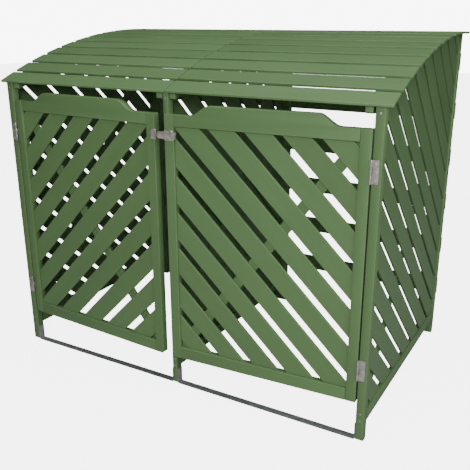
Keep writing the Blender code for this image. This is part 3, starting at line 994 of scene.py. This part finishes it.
@dataclass
class SlattedInfill:
    """Slanted slats across an opening and the brace that ties them together."""

    name: str
    body: str
    seat: Seat
    outline: Outline
    brace_outline: Outline
    rule: SlatRule
    slat_y: tuple[float, float]
    brace_y: tuple[float, float]
    finish: Finish
    nail: Head
    outer_way: float
    node: str
    ease: float = 0.0015
    cover_rule: SlatRule | None = None
    cover_top: float = 0.895
    cover_sunk: float = 0.0004
    nail_inset: float = 0.016
    nail_side: float = 0.018
    nail_spacing: float = 0.03
    brace_width: float = 0.036

    def build(self, tree: RepeatTree, fixings: Fixings) -> None:
        """Make the slats, the brace and their nails.

        Args:
            tree: the tree that lays slats across an opening.
            fixings: where the nails go.
        """
        self._build_slats(tree)
        if self.cover_rule is not None:
            self._build_cover(tree)
        self._build_brace()
        self._nail(fixings)

    def _build_slats(self, tree: RepeatTree) -> None:
        """Lay the slats that stand for the whole slatted node."""
        slats = self._laid(tree, self.rule, self.outline, self.slat_y)
        add_piece(f"{self.name}_boards", slats, self.finish, self.body, (self.node,))

    def _build_cover(self, tree: RepeatTree) -> None:
        """Lay a second layer of slats over the gaps of the first, up to the cover's top.

        Args:
            tree: the tree that lays slats across an opening.
        """
        (front, floor), (rear, _) = self.outline[-1], self.outline[-2]
        outline = [(front, floor), (rear, floor), (rear, self.cover_top),
                   (front, self.cover_top)]
        band = (self.brace_y[0] + self.cover_sunk, self.brace_y[1])
        cover = self._laid(tree, self.cover_rule, outline, band)
        add_piece(f"{self.name}_cover_boards", cover, self.finish, self.body)

    def _laid(self, tree: RepeatTree, rule: SlatRule, outline: Outline,
              band: tuple[float, float]) -> bpy.types.Mesh:
        """Slats across an outline, with eased edges.

        Args:
            tree: the tree that lays slats across an opening.
            rule: how the slats run.
            outline: the opening.
            band: the slats' two faces.

        Returns:
            The slats in the store's own frame.
        """
        opening = prism([outline], band[0] - 0.05, band[1] + 0.05, lambda x, z, y: (x, y, z))
        reach = [x * rule.normal.x + z * rule.normal.z for x, z in outline]
        middles = rule.middles(min(reach), max(reach))
        slats = tree.run(opening, {
            "Count": len(middles), "Pitch": rule.pitch, "First": middles[0],
            "Slope": rule.slope, "Length": 6.0, "Width": rule.width,
            "Thickness": band[1] - band[0], "Face": (band[0] + band[1]) / 2,
            "Material": PAINTS.material(self.finish)})
        return self.seat.settle(rule.label(eased(flattened(slats), self.ease)))

    def _brace_axes(self) -> tuple[Vector, Vector, float]:
        """The brace's direction, normal and distance along the normal."""
        (x0, z0), (x1, z1) = self._brace_ends()
        along = Vector((x1 - x0, 0.0, z1 - z0)).normalized()
        normal = Vector((-along.z, 0.0, along.x))
        return along, normal, x0 * normal.x + z0 * normal.z

    def _brace_ends(self) -> tuple[tuple[float, float], tuple[float, float]]:
        """The two corners that the brace runs between."""
        return self.brace_outline[0], self.brace_outline[1]

    def _build_brace(self) -> None:
        """Cut the brace to its opening."""
        along, normal, middle = self._brace_axes()
        outline = strip(self.brace_outline[2:], normal, middle - self.brace_width / 2,
                        middle + self.brace_width / 2)
        brace = eased(prism([outline], *self.brace_y, lambda x, z, y: (x, y, z)), self.ease)
        label_board(brace, along, normal, len(self.name) + 3.0)
        add_piece(f"{self.name}_brace", self.seat.settle(brace), self.finish, self.body)

    def _nail(self, fixings: Fixings) -> None:
        """Nail each slat at its ends and where it crosses the brace.

        Args:
            fixings: where the nails go.
        """
        face = self.slat_y[0] if self.outer_way < 0 else self.slat_y[1]
        reach = [x * self.rule.normal.x + z * self.rule.normal.z for x, z in self.outline]
        _, brace_normal, brace_at = self._brace_axes()
        for middle in self.rule.middles(min(reach), max(reach)):
            for side in (-self.nail_side, self.nail_side):
                run = run_on_line(self.outline, self.rule.normal, self.rule.along,
                                  middle + side)
                if run is None or run[1] - run[0] < 4 * self.nail_inset:
                    continue
                spots = [run[0] + self.nail_inset, run[1] - self.nail_inset]
                slant = self.rule.along.dot(brace_normal)
                crossing = (brace_at - (middle + side) * self.rule.normal.dot(brace_normal))
                crossing /= slant
                if spots[0] + self.nail_spacing < crossing < spots[1] - self.nail_spacing:
                    spots.append(crossing)
                for spot in spots:
                    place = self.rule.normal * (middle + side) + self.rule.along * spot
                    fixings.add(self.body, self.nail, self.seat, (place.x, face, place.z),
                                (0.0, self.outer_way, 0.0))


def strip(polygon: Outline, normal: Vector, low: float, high: float) -> Outline:
    """The band of a convex outline between two parallel lines.

    Args:
        polygon: the outline.
        normal: the direction square to the lines.
        low: where the first line crosses the normal.
        high: where the second line crosses it.

    Returns:
        The outline's part between the lines.
    """
    for sign, limit in ((1.0, high), (-1.0, -low)):
        kept: Outline = []
        for i, p in enumerate(polygon):
            q = polygon[(i + 1) % len(polygon)]
            dp = sign * (p[0] * normal.x + p[1] * normal.z) - limit
            dq = sign * (q[0] * normal.x + q[1] * normal.z) - limit
            if dp <= 0:
                kept.append(p)
            if dp * dq < 0:
                t = dp / (dp - dq)
                kept.append((p[0] + t * (q[0] - p[0]), p[1] + t * (q[1] - p[1])))
        polygon = kept
    return polygon


def add_board(name: str, node: str, seat: Seat, along: Sequence[float],
              across: Sequence[float], finish: Finish, body: str, ease: float = 0.0018,
              seed: float = 0.0) -> None:
    """Show a packed board with its arrises eased and its grain laid.

    Args:
        name: the piece's name.
        node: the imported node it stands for.
        seat: the frame that the directions are given in.
        along: the direction of its length.
        across: the direction of its width.
        finish: its finish.
        body: the body it moves with.
        ease: how far the arrises are rounded.
        seed: picks its tone.
    """
    mesh = label_board(eased(seat.node(node), ease), along, across, seed)
    add_piece(name, seat.settle(mesh), finish, body, (node,))


# ---------------------------------------------------------------- side panels and divider
@dataclass
class Panel:
    """A side or the divider: two posts, two rails, slats and their brace."""

    name: str
    outer: float
    gap_height: float
    seed: int
    slope: float = math.radians(42.7)
    pitch: float = 0.0801
    thickness: float = 0.008
    covered: bool = False
    body: str = "frame"

    def build(self, tree: RepeatTree, fixings: Fixings) -> None:
        """Make the panel.

        Args:
            tree: the tree that lays slats across an opening.
            fixings: where the nails and screws go.
        """
        seat = Seat()
        for i, part in enumerate(("front_post", "rear_post")):
            node = f"{self.name}_{part}"
            add_board(f"{node}_timber", node, seat, (0, 0, 1), (1, 0, 0), Finish.FRAME,
                      self.body, 0.0022, self.seed + i)
        for i, part in enumerate(("bottom_rail", "top_rail")):
            node = f"{self.name}_{part}"
            add_board(f"{node}_timber", node, seat, (0, 1, 0), (0, 0, 1), Finish.FRAME,
                      self.body, 0.0018, self.seed + 2 + i)
        self._infill().build(tree, fixings)
        self._screw_posts(fixings)

    def _infill(self) -> SlattedInfill:
        """The slats, in a frame whose X runs to the rear and whose Y runs to the left.

        Returns:
            The infill, ready to be built.
        """
        turn = Matrix(((0, -1, 0, 0), (1, 0, 0, 0), (0, 0, 1, 0), (0, 0, 0, 1)))
        seat = Seat(turn)
        low, high = seat.box(f"{self.name}_slats")
        outward = -1.0 if self.outer > 0 else 1.0
        if outward < 0:
            slat_y = (low[1], low[1] + self.thickness)
            brace_y = (slat_y[1], high[1])
        else:
            slat_y = (high[1] - self.thickness, high[1])
            brace_y = (low[1], slat_y[0])
        top = self._arch(f"{self.name}_top_rail", seat, upper=True)
        under = self._arch(f"{self.name}_top_rail", seat, upper=False)
        sill = [(high[0], low[2]), (low[0], low[2])]
        outline = strip(top + sill, Vector((1.0, 0.0, 0.0)), low[0], high[0])
        clear = strip(under + sill, Vector((1.0, 0.0, 0.0)), low[0], high[0])
        front_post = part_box(f"{self.name}_front_post")[0].y
        slope = -self.slope
        gap = (front_post * math.sin(self.slope) + self.gap_height * math.cos(self.slope))
        rule = SlatRule(slope, self.pitch, gap, seed=self.seed)
        cover = SlatRule(slope, self.pitch, gap + self.pitch / 2, seed=self.seed + 40)
        return SlattedInfill(
            self.name + "_panel", self.body, seat, outline, [sill[1], under[-1]] + clear, rule,
            slat_y, brace_y, Finish.FRAME, Head.NAIL_FRAME, outward, f"{self.name}_slats",
            cover_rule=cover if self.covered else None)

    @staticmethod
    def _arch(node: str, seat: Seat, upper: bool) -> Outline:
        """The curve of the top rail's upper or lower edge, from front to rear.

        Args:
            node: the top rail's node.
            seat: the panel's own frame.
            upper: whether the upper edge is wanted.

        Returns:
            The curve's points.
        """
        points = points_of(seat.node(node))
        curve: Outline = []
        for x in sorted({round(float(p[0]), 4) for p in points}):
            heights = [float(p[2]) for p in points if abs(p[0] - x) < 2.0e-4]
            curve.append((x, max(heights) if upper else min(heights) - 0.0003))
        return curve

    def _screw_posts(self, fixings: Fixings) -> None:
        """Screw the posts to the rails, through their front and rear faces.

        Args:
            fixings: where the screws go.
        """
        seat = Seat()
        rail_low, rail_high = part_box(f"{self.name}_bottom_rail")
        for part, way in (("front_post", -1.0), ("rear_post", 1.0)):
            low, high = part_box(f"{self.name}_{part}")
            face = low.y if way < 0 else high.y
            middle = (low.x + high.x) / 2
            for height in (rail_low.z + 0.006, rail_high.z - 0.008, high.z - 0.030):
                fixings.add(self.body, Head.ZINC, seat, (middle, face, height), (0, way, 0))


# ---------------------------------------------------------------- back wall
@dataclass
class BackWall:
    """The boards across the rear posts and the rails that carry the lid hinges."""

    boards: int = 6
    seed: int = 11
    body: str = "frame"

    def build(self, tree: RepeatTree, fixings: Fixings) -> None:
        """Make the boards and the rails.

        Args:
            tree: the tree that repeats a board in a row.
            fixings: where the nails go.
        """
        seat = Seat()
        names = [f"back_board_{i + 1}" for i in range(self.boards)]
        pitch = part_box(names[1])[0].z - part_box(names[0])[0].z
        board = label_board(eased(seat.node(names[0]), 0.0016), (1, 0, 0), (0, 0, 1), 1.0)
        mesh = tree.run(board, {"Count": self.boards, "Pitch": pitch, "Seed": self.seed,
                                "Material": PAINTS.material(Finish.FRAME)})
        spread_tone(mesh)
        add_piece("back_boards", mesh, Finish.FRAME, self.body, names)
        for i, side in enumerate(("left", "right")):
            add_board(f"{side}_rear_rail_timber", f"{side}_rear_rail", seat, (1, 0, 0),
                      (0, 0, 1), Finish.FRAME, self.body, 0.0018, 31.0 + i)
        self._nail(names, fixings)

    def _nail(self, names: Sequence[str], fixings: Fixings) -> None:
        """Two nails through each board into each rear post.

        Args:
            names: the boards' nodes.
            fixings: where the nails go.
        """
        seat = Seat()
        posts = [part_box(f"{name}_rear_post") for name in ("left", "divider", "right")]
        for name in names:
            low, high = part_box(name)
            for post_low, post_high in posts:
                for shift, height in ((-0.010, low.z + 0.014), (0.010, high.z - 0.014)):
                    fixings.add(self.body, Head.NAIL_FRAME, seat,
                                ((post_low.x + post_high.x) / 2 + shift, high.y, height),
                                (0, 1, 0))


def spread_tone(mesh: bpy.types.Mesh) -> None:
    """Move the tone that the tree gave each board into the board label.

    Args:
        mesh: boards that the arc or row tree laid.
    """
    tone = np.empty(len(mesh.vertices), np.float32)
    mesh.attributes["tone"].data.foreach_get("value", tone)
    rows = np.empty(len(mesh.vertices) * 3, np.float32)
    mesh.attributes["board"].data.foreach_get("vector", rows)
    rows = rows.reshape(-1, 3)
    rows[:, 2] = tone
    mesh.attributes["board"].data.foreach_set("vector", rows.ravel())
    mesh.attributes.remove(mesh.attributes["tone"])


# ---------------------------------------------------------------- floor straps
@dataclass
class FloorStrap:
    """A galvanised strap across a bay's floor, turned up at both ends and screwed."""

    side: str
    thickness: float = 0.002
    bend: float = 0.0045
    body: str = "frame"

    def build(self, fixings: Fixings) -> None:
        """Bend the strap and screw it to its posts.

        Args:
            fixings: where the screws go.
        """
        node = f"{self.side}_floor_strap"
        low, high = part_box(node)
        t, r = self.thickness, self.bend
        outer = rounded_rectangle(low.x, low.z, high.x, high.z, (r, r, 0, 0))
        inner = rounded_rectangle(low.x + t, low.z + t, high.x - t, high.z, (r - t, r - t, 0, 0))
        outline = [outer[-1]] + outer[:-1] + [inner[-2]] + inner[:-2][::-1] + [inner[-1]]
        mesh = eased(prism([outline], low.y, high.y, lambda x, z, y: (x, y, z)), 0.0004, 2)
        label_board(mesh, (1, 0, 0), (0, 1, 0), 2.0)
        add_piece(f"{self.side}_strap_steel", mesh, Finish.STRAP, self.body, (node,))
        middle = (low.y + high.y) / 2
        for face, way in ((low.x + t, 1.0), (high.x - t, -1.0)):
            for height in (0.024, 0.046):
                fixings.add(self.body, Head.ZINC, Seat(), (face, middle, height), (way, 0, 0))


# ---------------------------------------------------------------- hinges
@dataclass
class Butt:
    """One butt hinge: a screwed leaf with two knuckles, and a leaf with the middle one."""

    fixed_node: str
    moving_node: str
    moving_body: str
    seat: Seat
    screws: tuple[tuple[float, float, float], ...]
    screw_way: tuple[float, float, float]
    body: str = "frame"

    def build(self, fixings: Fixings) -> None:
        """Make both leaves.

        Args:
            fixings: where the screws go.
        """
        for node, body in ((self.fixed_node, self.body), (self.moving_node, self.moving_body)):
            mesh = eased(Seat().node(node), 0.00035, 2, 40.0)
            label_board(mesh, (0, 0, 1), (1, 0, 0), 1.0)
            add_piece(f"{node}_steel", mesh, Finish.HINGE, body, (node,))
        for place in self.screws:
            fixings.add(self.body, Head.BRIGHT, self.seat, place, self.screw_way)


# ---------------------------------------------------------------- doors
@dataclass
class Door:
    """A framed, slatted and braced door, built shut in its own frame and stood ajar."""

    side: str
    way: float
    seed: int
    pitch: float = 0.0862
    gap_height: float = 0.049
    setback: float = 0.006
    thickness: float = 0.008
    corner: float = 0.009

    @property
    def body(self) -> str:
        """The body that the door is."""
        return f"{self.side}_door"

    @property
    def joint(self) -> dict:
        """The record's joint for this door."""
        return next(j for j in frame["joints"] if j["name"] == f"{self.side}_door_hinge")

    @property
    def seat(self) -> Seat:
        """The door's frame: pin at the origin, shut door along X, turned to where it rests."""
        pin = self.joint["pos_m"]
        ajar = math.radians(-self.joint["range_deg"][0]) * self.way
        return Seat(Matrix.Translation((pin[0], pin[1], 0.0)) @ Matrix.Rotation(ajar, 4, "Z"))

    def build(self, tree: RepeatTree, fixings: Fixings) -> None:
        """Make the door.

        Args:
            tree: the tree that lays slats across an opening.
            fixings: where the nails go.
        """
        seat = self.seat
        name = self.body
        add_board(f"{name}_hinge_stile_timber", f"{name}_hinge_stile", seat, (0, 0, 1),
                  (1, 0, 0), Finish.DOOR, name, 0.0020, self.seed)
        self._build_latch_stile(seat)
        for i, part in enumerate(("bottom_rail", "top_rail")):
            add_board(f"{name}_{part}_timber", f"{name}_{part}", seat, (1, 0, 0), (0, 0, 1),
                      Finish.DOOR, name, 0.0018, self.seed + 2 + i)
        self._infill(seat).build(tree, fixings)
        self._build_hinges(fixings)

    def _build_latch_stile(self, seat: Seat) -> None:
        """The free stile, with its bottom corner rounded.

        Args:
            seat: the door's own frame.
        """
        node = f"{self.body}_latch_stile"
        low, high = seat.box(node)
        r = self.corner
        radii = (r, 0, 0, 0) if self.way > 0 else (0, r, 0, 0)
        outline = rounded_rectangle(low[0], low[2], high[0], high[2], radii)
        mesh = eased(prism([outline], low[1], high[1], lambda x, z, y: (x, y, z)), 0.0020)
        label_board(mesh, (0, 0, 1), (1, 0, 0), self.seed + 1)
        add_piece(f"{node}_timber", seat.settle(mesh), Finish.DOOR, self.body, (node,))

    def _infill(self, seat: Seat) -> SlattedInfill:
        """The slats and the brace behind them."""
        low, high = seat.box(f"{self.body}_slats")
        face = seat.box(f"{self.body}_bottom_rail")[0][1]
        outline = [(low[0], low[2]), (high[0], low[2]), (high[0], high[2]), (low[0], high[2])]
        slope = -self.way * math.radians(45.0)
        gap = self.gap_height * math.cos(slope)
        rule = SlatRule(slope, self.pitch, gap, seed=self.seed)
        slat_y = (face + self.setback, face + self.setback + self.thickness)
        brace_y = (slat_y[1], high[1])
        if self.way > 0:
            ends = [(low[0], low[2]), (high[0], high[2])]
        else:
            ends = [(high[0], low[2]), (low[0], high[2])]
        return SlattedInfill(
            self.body + "_infill", self.body, seat, outline, ends + outline, rule, slat_y,
            brace_y, Finish.DOOR, Head.NAIL_DOOR, -1.0, f"{self.body}_slats", nail_inset=0.012)

    def _build_hinges(self, fixings: Fixings) -> None:
        """The two butt hinges, screwed to the post's front face.

        Args:
            fixings: where the screws go.
        """
        pin = self.joint["pos_m"]
        for level in ("lower", "upper"):
            fixed = f"{self.side}_door_{level}_hinge_post_leaf"
            low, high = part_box(fixed)
            edge = high.x if self.way > 0 else low.x
            middle = pin[0] + (edge - pin[0]) * 0.60
            face = high.y - 0.0015
            screws = tuple((middle + offset * self.way, face, (low.z + high.z) / 2 + rise)
                           for rise, offset in ((-0.024, 0.0), (0.0, 0.004), (0.024, 0.0)))
            Butt(fixed, f"{self.side}_door_{level}_hinge_door_leaf", self.body, Seat(), screws,
                 (0.0, -1.0, 0.0)).build(fixings)


# ---------------------------------------------------------------- latch
@dataclass
class Latch:
    """The sliding bolt on the right door and its keep on the left one."""

    ease: float = 0.00045

    def build(self, left: Door, right: Door, fixings: Fixings) -> None:
        """Make the bolt, its plate and bridge, and the keep.

        Args:
            left: the door with the keep.
            right: the door with the bolt.
            fixings: where the screws go.
        """
        for node, seat, body in (("latch_body", right.seat, "right_door"),
                                 ("latch_keep", left.seat, "left_door"),
                                 ("latch_bolt", right.seat, "latch_bolt")):
            mesh = eased(seat.node(node), self.ease, 2, 35.0)
            label_board(mesh, (1, 0, 0), (0, 0, 1), 1.0)
            add_piece(f"{node}_metal", seat.settle(mesh), Finish.LATCH, body, (node,))
        low, high = left.seat.box("latch_keep")
        face = high[1] - 0.0015
        for height in (low[2] + 0.007, high[2] - 0.007):
            fixings.add("left_door", Head.BRIGHT, left.seat, (low[0] + 0.0065, face, height),
                        (0, -1, 0))
        low, high = right.seat.box("latch_body")
        for height in (low[2] + 0.0032, high[2] - 0.0032):
            fixings.add("right_door", Head.BRIGHT, right.seat, (high[0] - 0.006, face, height),
                        (0, -1, 0))


# ---------------------------------------------------------------- lids
@dataclass
class Lid:
    """Curved lid: flat boards over two bowed rafters, hinged at the rear."""

    side: str
    way: float
    seed: int
    count: int = 11
    radius: float = 2.0
    step: float = math.radians(2.4352)
    start: float = math.radians(23.5975)
    gap: float = 0.0150
    thickness: float = 0.008
    front_of_centre: float = 0.7926
    centre_height: float = -0.7868
    nail_offsets: tuple[float, float] = (-0.027, 0.012)
    corner: float = 0.005
    rafter_width: float = 0.023

    @property
    def body(self) -> str:
        """The body that the lid is."""
        return f"{self.side}_lid"

    def build(self, tree: RepeatTree, fixings: Fixings) -> None:
        """Make the lid.

        Args:
            tree: the tree that lays boards over an arc.
            fixings: where the nails go.
        """
        low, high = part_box(f"{self.side}_lid_slats")
        post_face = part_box("left_front_post")[0].y
        centre_y = post_face + self.front_of_centre
        chord_radius = self.radius * math.cos(self.step / 2)
        pitch = 2 * self.radius * math.sin(self.step / 2)
        board = self._board(low.x, high.x, pitch)
        mesh = tree.run(board, {
            "Count": self.count, "Start": self.start, "Step": self.step,
            "Radius": chord_radius, "Centre Y": centre_y, "Centre Z": self.centre_height,
            "Seed": self.seed, "Material": PAINTS.material(Finish.LID)})
        spread_tone(mesh)
        add_piece(f"{self.side}_lid_boards", mesh, Finish.LID, self.body,
                  (f"{self.side}_lid_slats",))
        self._build_rafters()
        self._nail(fixings, centre_y, chord_radius)
        self._build_hinges(fixings)

    def _board(self, low: float, high: float, pitch: float) -> bpy.types.Mesh:
        """One lid board, lying on its place's tangent with its top at zero."""
        front, rear = -pitch / 2, pitch / 2 - self.gap
        r = self.corner
        outline = rounded_rectangle(low, front, high, rear, (r * 0.5, r * 0.5, r, r), 4)
        board = prism([outline], -self.thickness, 0.0, lambda x, y, z: (x, y, z))
        return label_board(eased(board, 0.0016, 2), (1, 0, 0), (0, 1, 0), 1.0)

    def _build_rafters(self) -> None:
        """The rafter by the seam, and its twin by the side panel."""
        node = f"{self.side}_lid_inner_rafter"
        add_board(f"{node}_timber", node, Seat(), (0, 1, 0), (0, 0, 1), Finish.LID, self.body,
                  0.0016, self.seed + 5.0)
        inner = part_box(node)
        shift = self._outer_rafter_x() - (inner[0].x if self.way > 0 else inner[1].x)
        twin = label_board(eased(Seat().node(node), 0.0016), (0, 1, 0), (0, 0, 1),
                           self.seed + 6.0)
        twin.transform(Matrix.Translation((shift, 0.0, 0.0)))
        add_piece(f"{self.side}_lid_outer_rafter_timber", twin, Finish.LID, self.body)

    def _outer_rafter_x(self) -> float:
        """The inner face of the rafter beside the side panel."""
        return self.way * 0.652

    def _nail(self, fixings: Fixings, centre_y: float, radius: float) -> None:
        """Two nails through each board into each rafter.

        Args:
            fixings: where the nails go.
            centre_y: the arc's middle, to the rear.
            radius: the arc's radius at the nail heads.
        """
        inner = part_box(f"{self.side}_lid_inner_rafter")
        lines = ((inner[0].x + inner[1].x) / 2,
                 self._outer_rafter_x() + self.way * self.rafter_width / 2)
        for k in range(self.count):
            angle = self.start - (k + 0.5) * self.step
            for offset in self.nail_offsets:
                y = centre_y - radius * math.sin(angle) + offset * math.cos(angle)
                z = self.centre_height + radius * math.cos(angle) + offset * math.sin(angle)
                for x in lines:
                    fixings.add(self.body, Head.NAIL_LID, Seat(), (x, y, z),
                                (0.0, -math.sin(angle), math.cos(angle)))

    def _build_hinges(self, fixings: Fixings) -> None:
        """The two hinges on the rear rail.

        Args:
            fixings: where the screws go.
        """
        for place in ("inner", "outer"):
            fixed = f"{self.side}_lid_{place}_hinge_rail_leaf"
            low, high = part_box(fixed)
            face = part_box(f"{self.side}_rear_rail")[1].y + 0.0033
            screws = tuple(((low.x + high.x) / 2 + shift, face, low.z + 0.010)
                           for shift in (-0.024, 0.0, 0.024))
            Butt(fixed, f"{self.side}_lid_{place}_hinge_lid_leaf", self.body, Seat(), screws,
                 (0.0, 1.0, 0.0)).build(fixings)


# ---------------------------------------------------------------- studio
@dataclass
class Studio:
    """Pale floor, soft lights and the camera."""

    eye: tuple[float, float, float] = (1.2214, -2.104, 1.2647)
    azimuth: float = 29.92
    elevation: float = 18.62
    roll: float = -0.16
    lens: float = 49.67
    ambient: float = 0.06
    backdrop: float = 8.0
    floor_lift: float = 5.3

    def build(self) -> None:
        """Set up the studio."""
        self._lay_floor()
        self._aim_camera()
        self._hang_lights()
        self._paint_world()

    def _lay_floor(self) -> None:
        """A pale floor that reaches well past the object."""
        material = bpy.data.materials.new("studio_floor")
        material.use_nodes = True
        graph = Graph(material.node_tree)
        ray = graph.signal("ShaderNodeLightPath")
        shader = graph.node("ShaderNodeBsdfPrincipled", None, {
            "Base Color": (0.50, 0.50, 0.50, 1.0), "Roughness": 0.9,
            "Specular IOR Level": 0.1, "Emission Color": (1.0, 1.0, 1.0, 1.0),
            "Emission Strength": ray * self.floor_lift})
        graph.node("ShaderNodeOutputMaterial", None, {"Surface": shader.outputs[0]})
        half = 14.0
        mesh = bpy.data.meshes.new("floor")
        mesh.from_pydata([(-half, -half, 0), (half, -half, 0), (half, half, 0),
                          (-half, half, 0)], [], [(0, 1, 2, 3)])
        mesh.materials.append(material)
        floor = bpy.data.objects.new("floor", mesh)
        bpy.context.scene.collection.objects.link(floor)

    def _aim_camera(self) -> None:
        """Stand the camera at eye height, looking down at the store."""
        data = bpy.data.cameras.new("camera")
        data.sensor_width = 36.0
        data.lens = self.lens
        data.clip_end = 100.0
        camera = bpy.data.objects.new("camera", data)
        bpy.context.scene.collection.objects.link(camera)
        turn = (Matrix.Rotation(math.radians(self.azimuth), 4, "Z")
                @ Matrix.Rotation(math.radians(90.0 - self.elevation), 4, "X")
                @ Matrix.Rotation(math.radians(self.roll), 4, "Z"))
        camera.matrix_world = Matrix.Translation(self.eye) @ turn
        bpy.context.scene.camera = camera

    def _hang_lights(self) -> None:
        """A large key from the front, a wide top light and a weak side fill."""
        for name, place, size, power, colour in (
                ("key", (1.6, -3.8, 2.4), 1.6, 115.0, (1.0, 0.99, 0.97)),
                ("top", (0.5, -0.6, 4.2), 2.6, 80.0, (1.0, 1.0, 1.0)),
                ("fill", (4.5, -1.5, 2.5), 2.2, 75.0, (0.97, 0.99, 1.0))):
            data = bpy.data.lights.new(name, "AREA")
            data.shape = "SQUARE"
            data.size = size
            data.energy = power
            data.color = colour
            lamp = bpy.data.objects.new(name, data)
            bpy.context.scene.collection.objects.link(lamp)
            aim = Vector((0.0, 0.0, 0.6)) - Vector(place)
            lamp.matrix_world = (Matrix.Translation(place)
                                 @ aim.to_track_quat("-Z", "Y").to_matrix().to_4x4())

    def _paint_world(self) -> None:
        """An even, pale surround."""
        world = bpy.data.worlds.new("surround")
        world.use_nodes = True
        graph = Graph(world.node_tree)
        glow = graph.node("ShaderNodeBackground", None, {
            "Color": (1.0, 1.0, 1.0, 1.0), "Strength": self.ambient})
        seen = graph.node("ShaderNodeBackground", None, {
            "Color": (1.0, 1.0, 1.0, 1.0), "Strength": self.backdrop})
        ray = graph.node("ShaderNodeLightPath")
        both = graph.node("ShaderNodeMixShader", None, {
            0: ray.outputs["Is Camera Ray"], 1: glow.outputs[0], 2: seen.outputs[0]})
        graph.node("ShaderNodeOutputWorld", None, {"Surface": both.outputs[0]})
        bpy.context.scene.world = world


def main() -> None:
    """Build the store, then the studio."""
    logging.basicConfig(level=logging.INFO, format="%(name)s: %(message)s")
    fixings = Fixings()
    across, over, row = opening_tree(), arc_tree(), row_tree()
    for name, outer, gap_height, seed in (("left", -1.0, 0.8701, 3), ("right", 1.0, 0.9235, 5),
                                          ("divider", -1.0, 0.8701, 8)):
        panel = Panel(name, outer, gap_height, seed, covered=name == "divider")
        panel.build(across, fixings)
    BackWall().build(row, fixings)
    doors = {}
    for side, way, seed in (("left", -1.0, 21), ("right", 1.0, 27)):
        FloorStrap(side).build(fixings)
        doors[side] = Door(side, way, seed)
        doors[side].build(across, fixings)
        Lid(side, way, seed + 20).build(over, fixings)
    Latch().build(doors["left"], doors["right"], fixings)
    fixings.build()
    Studio().build()


if __name__ == "__main__":
    main()
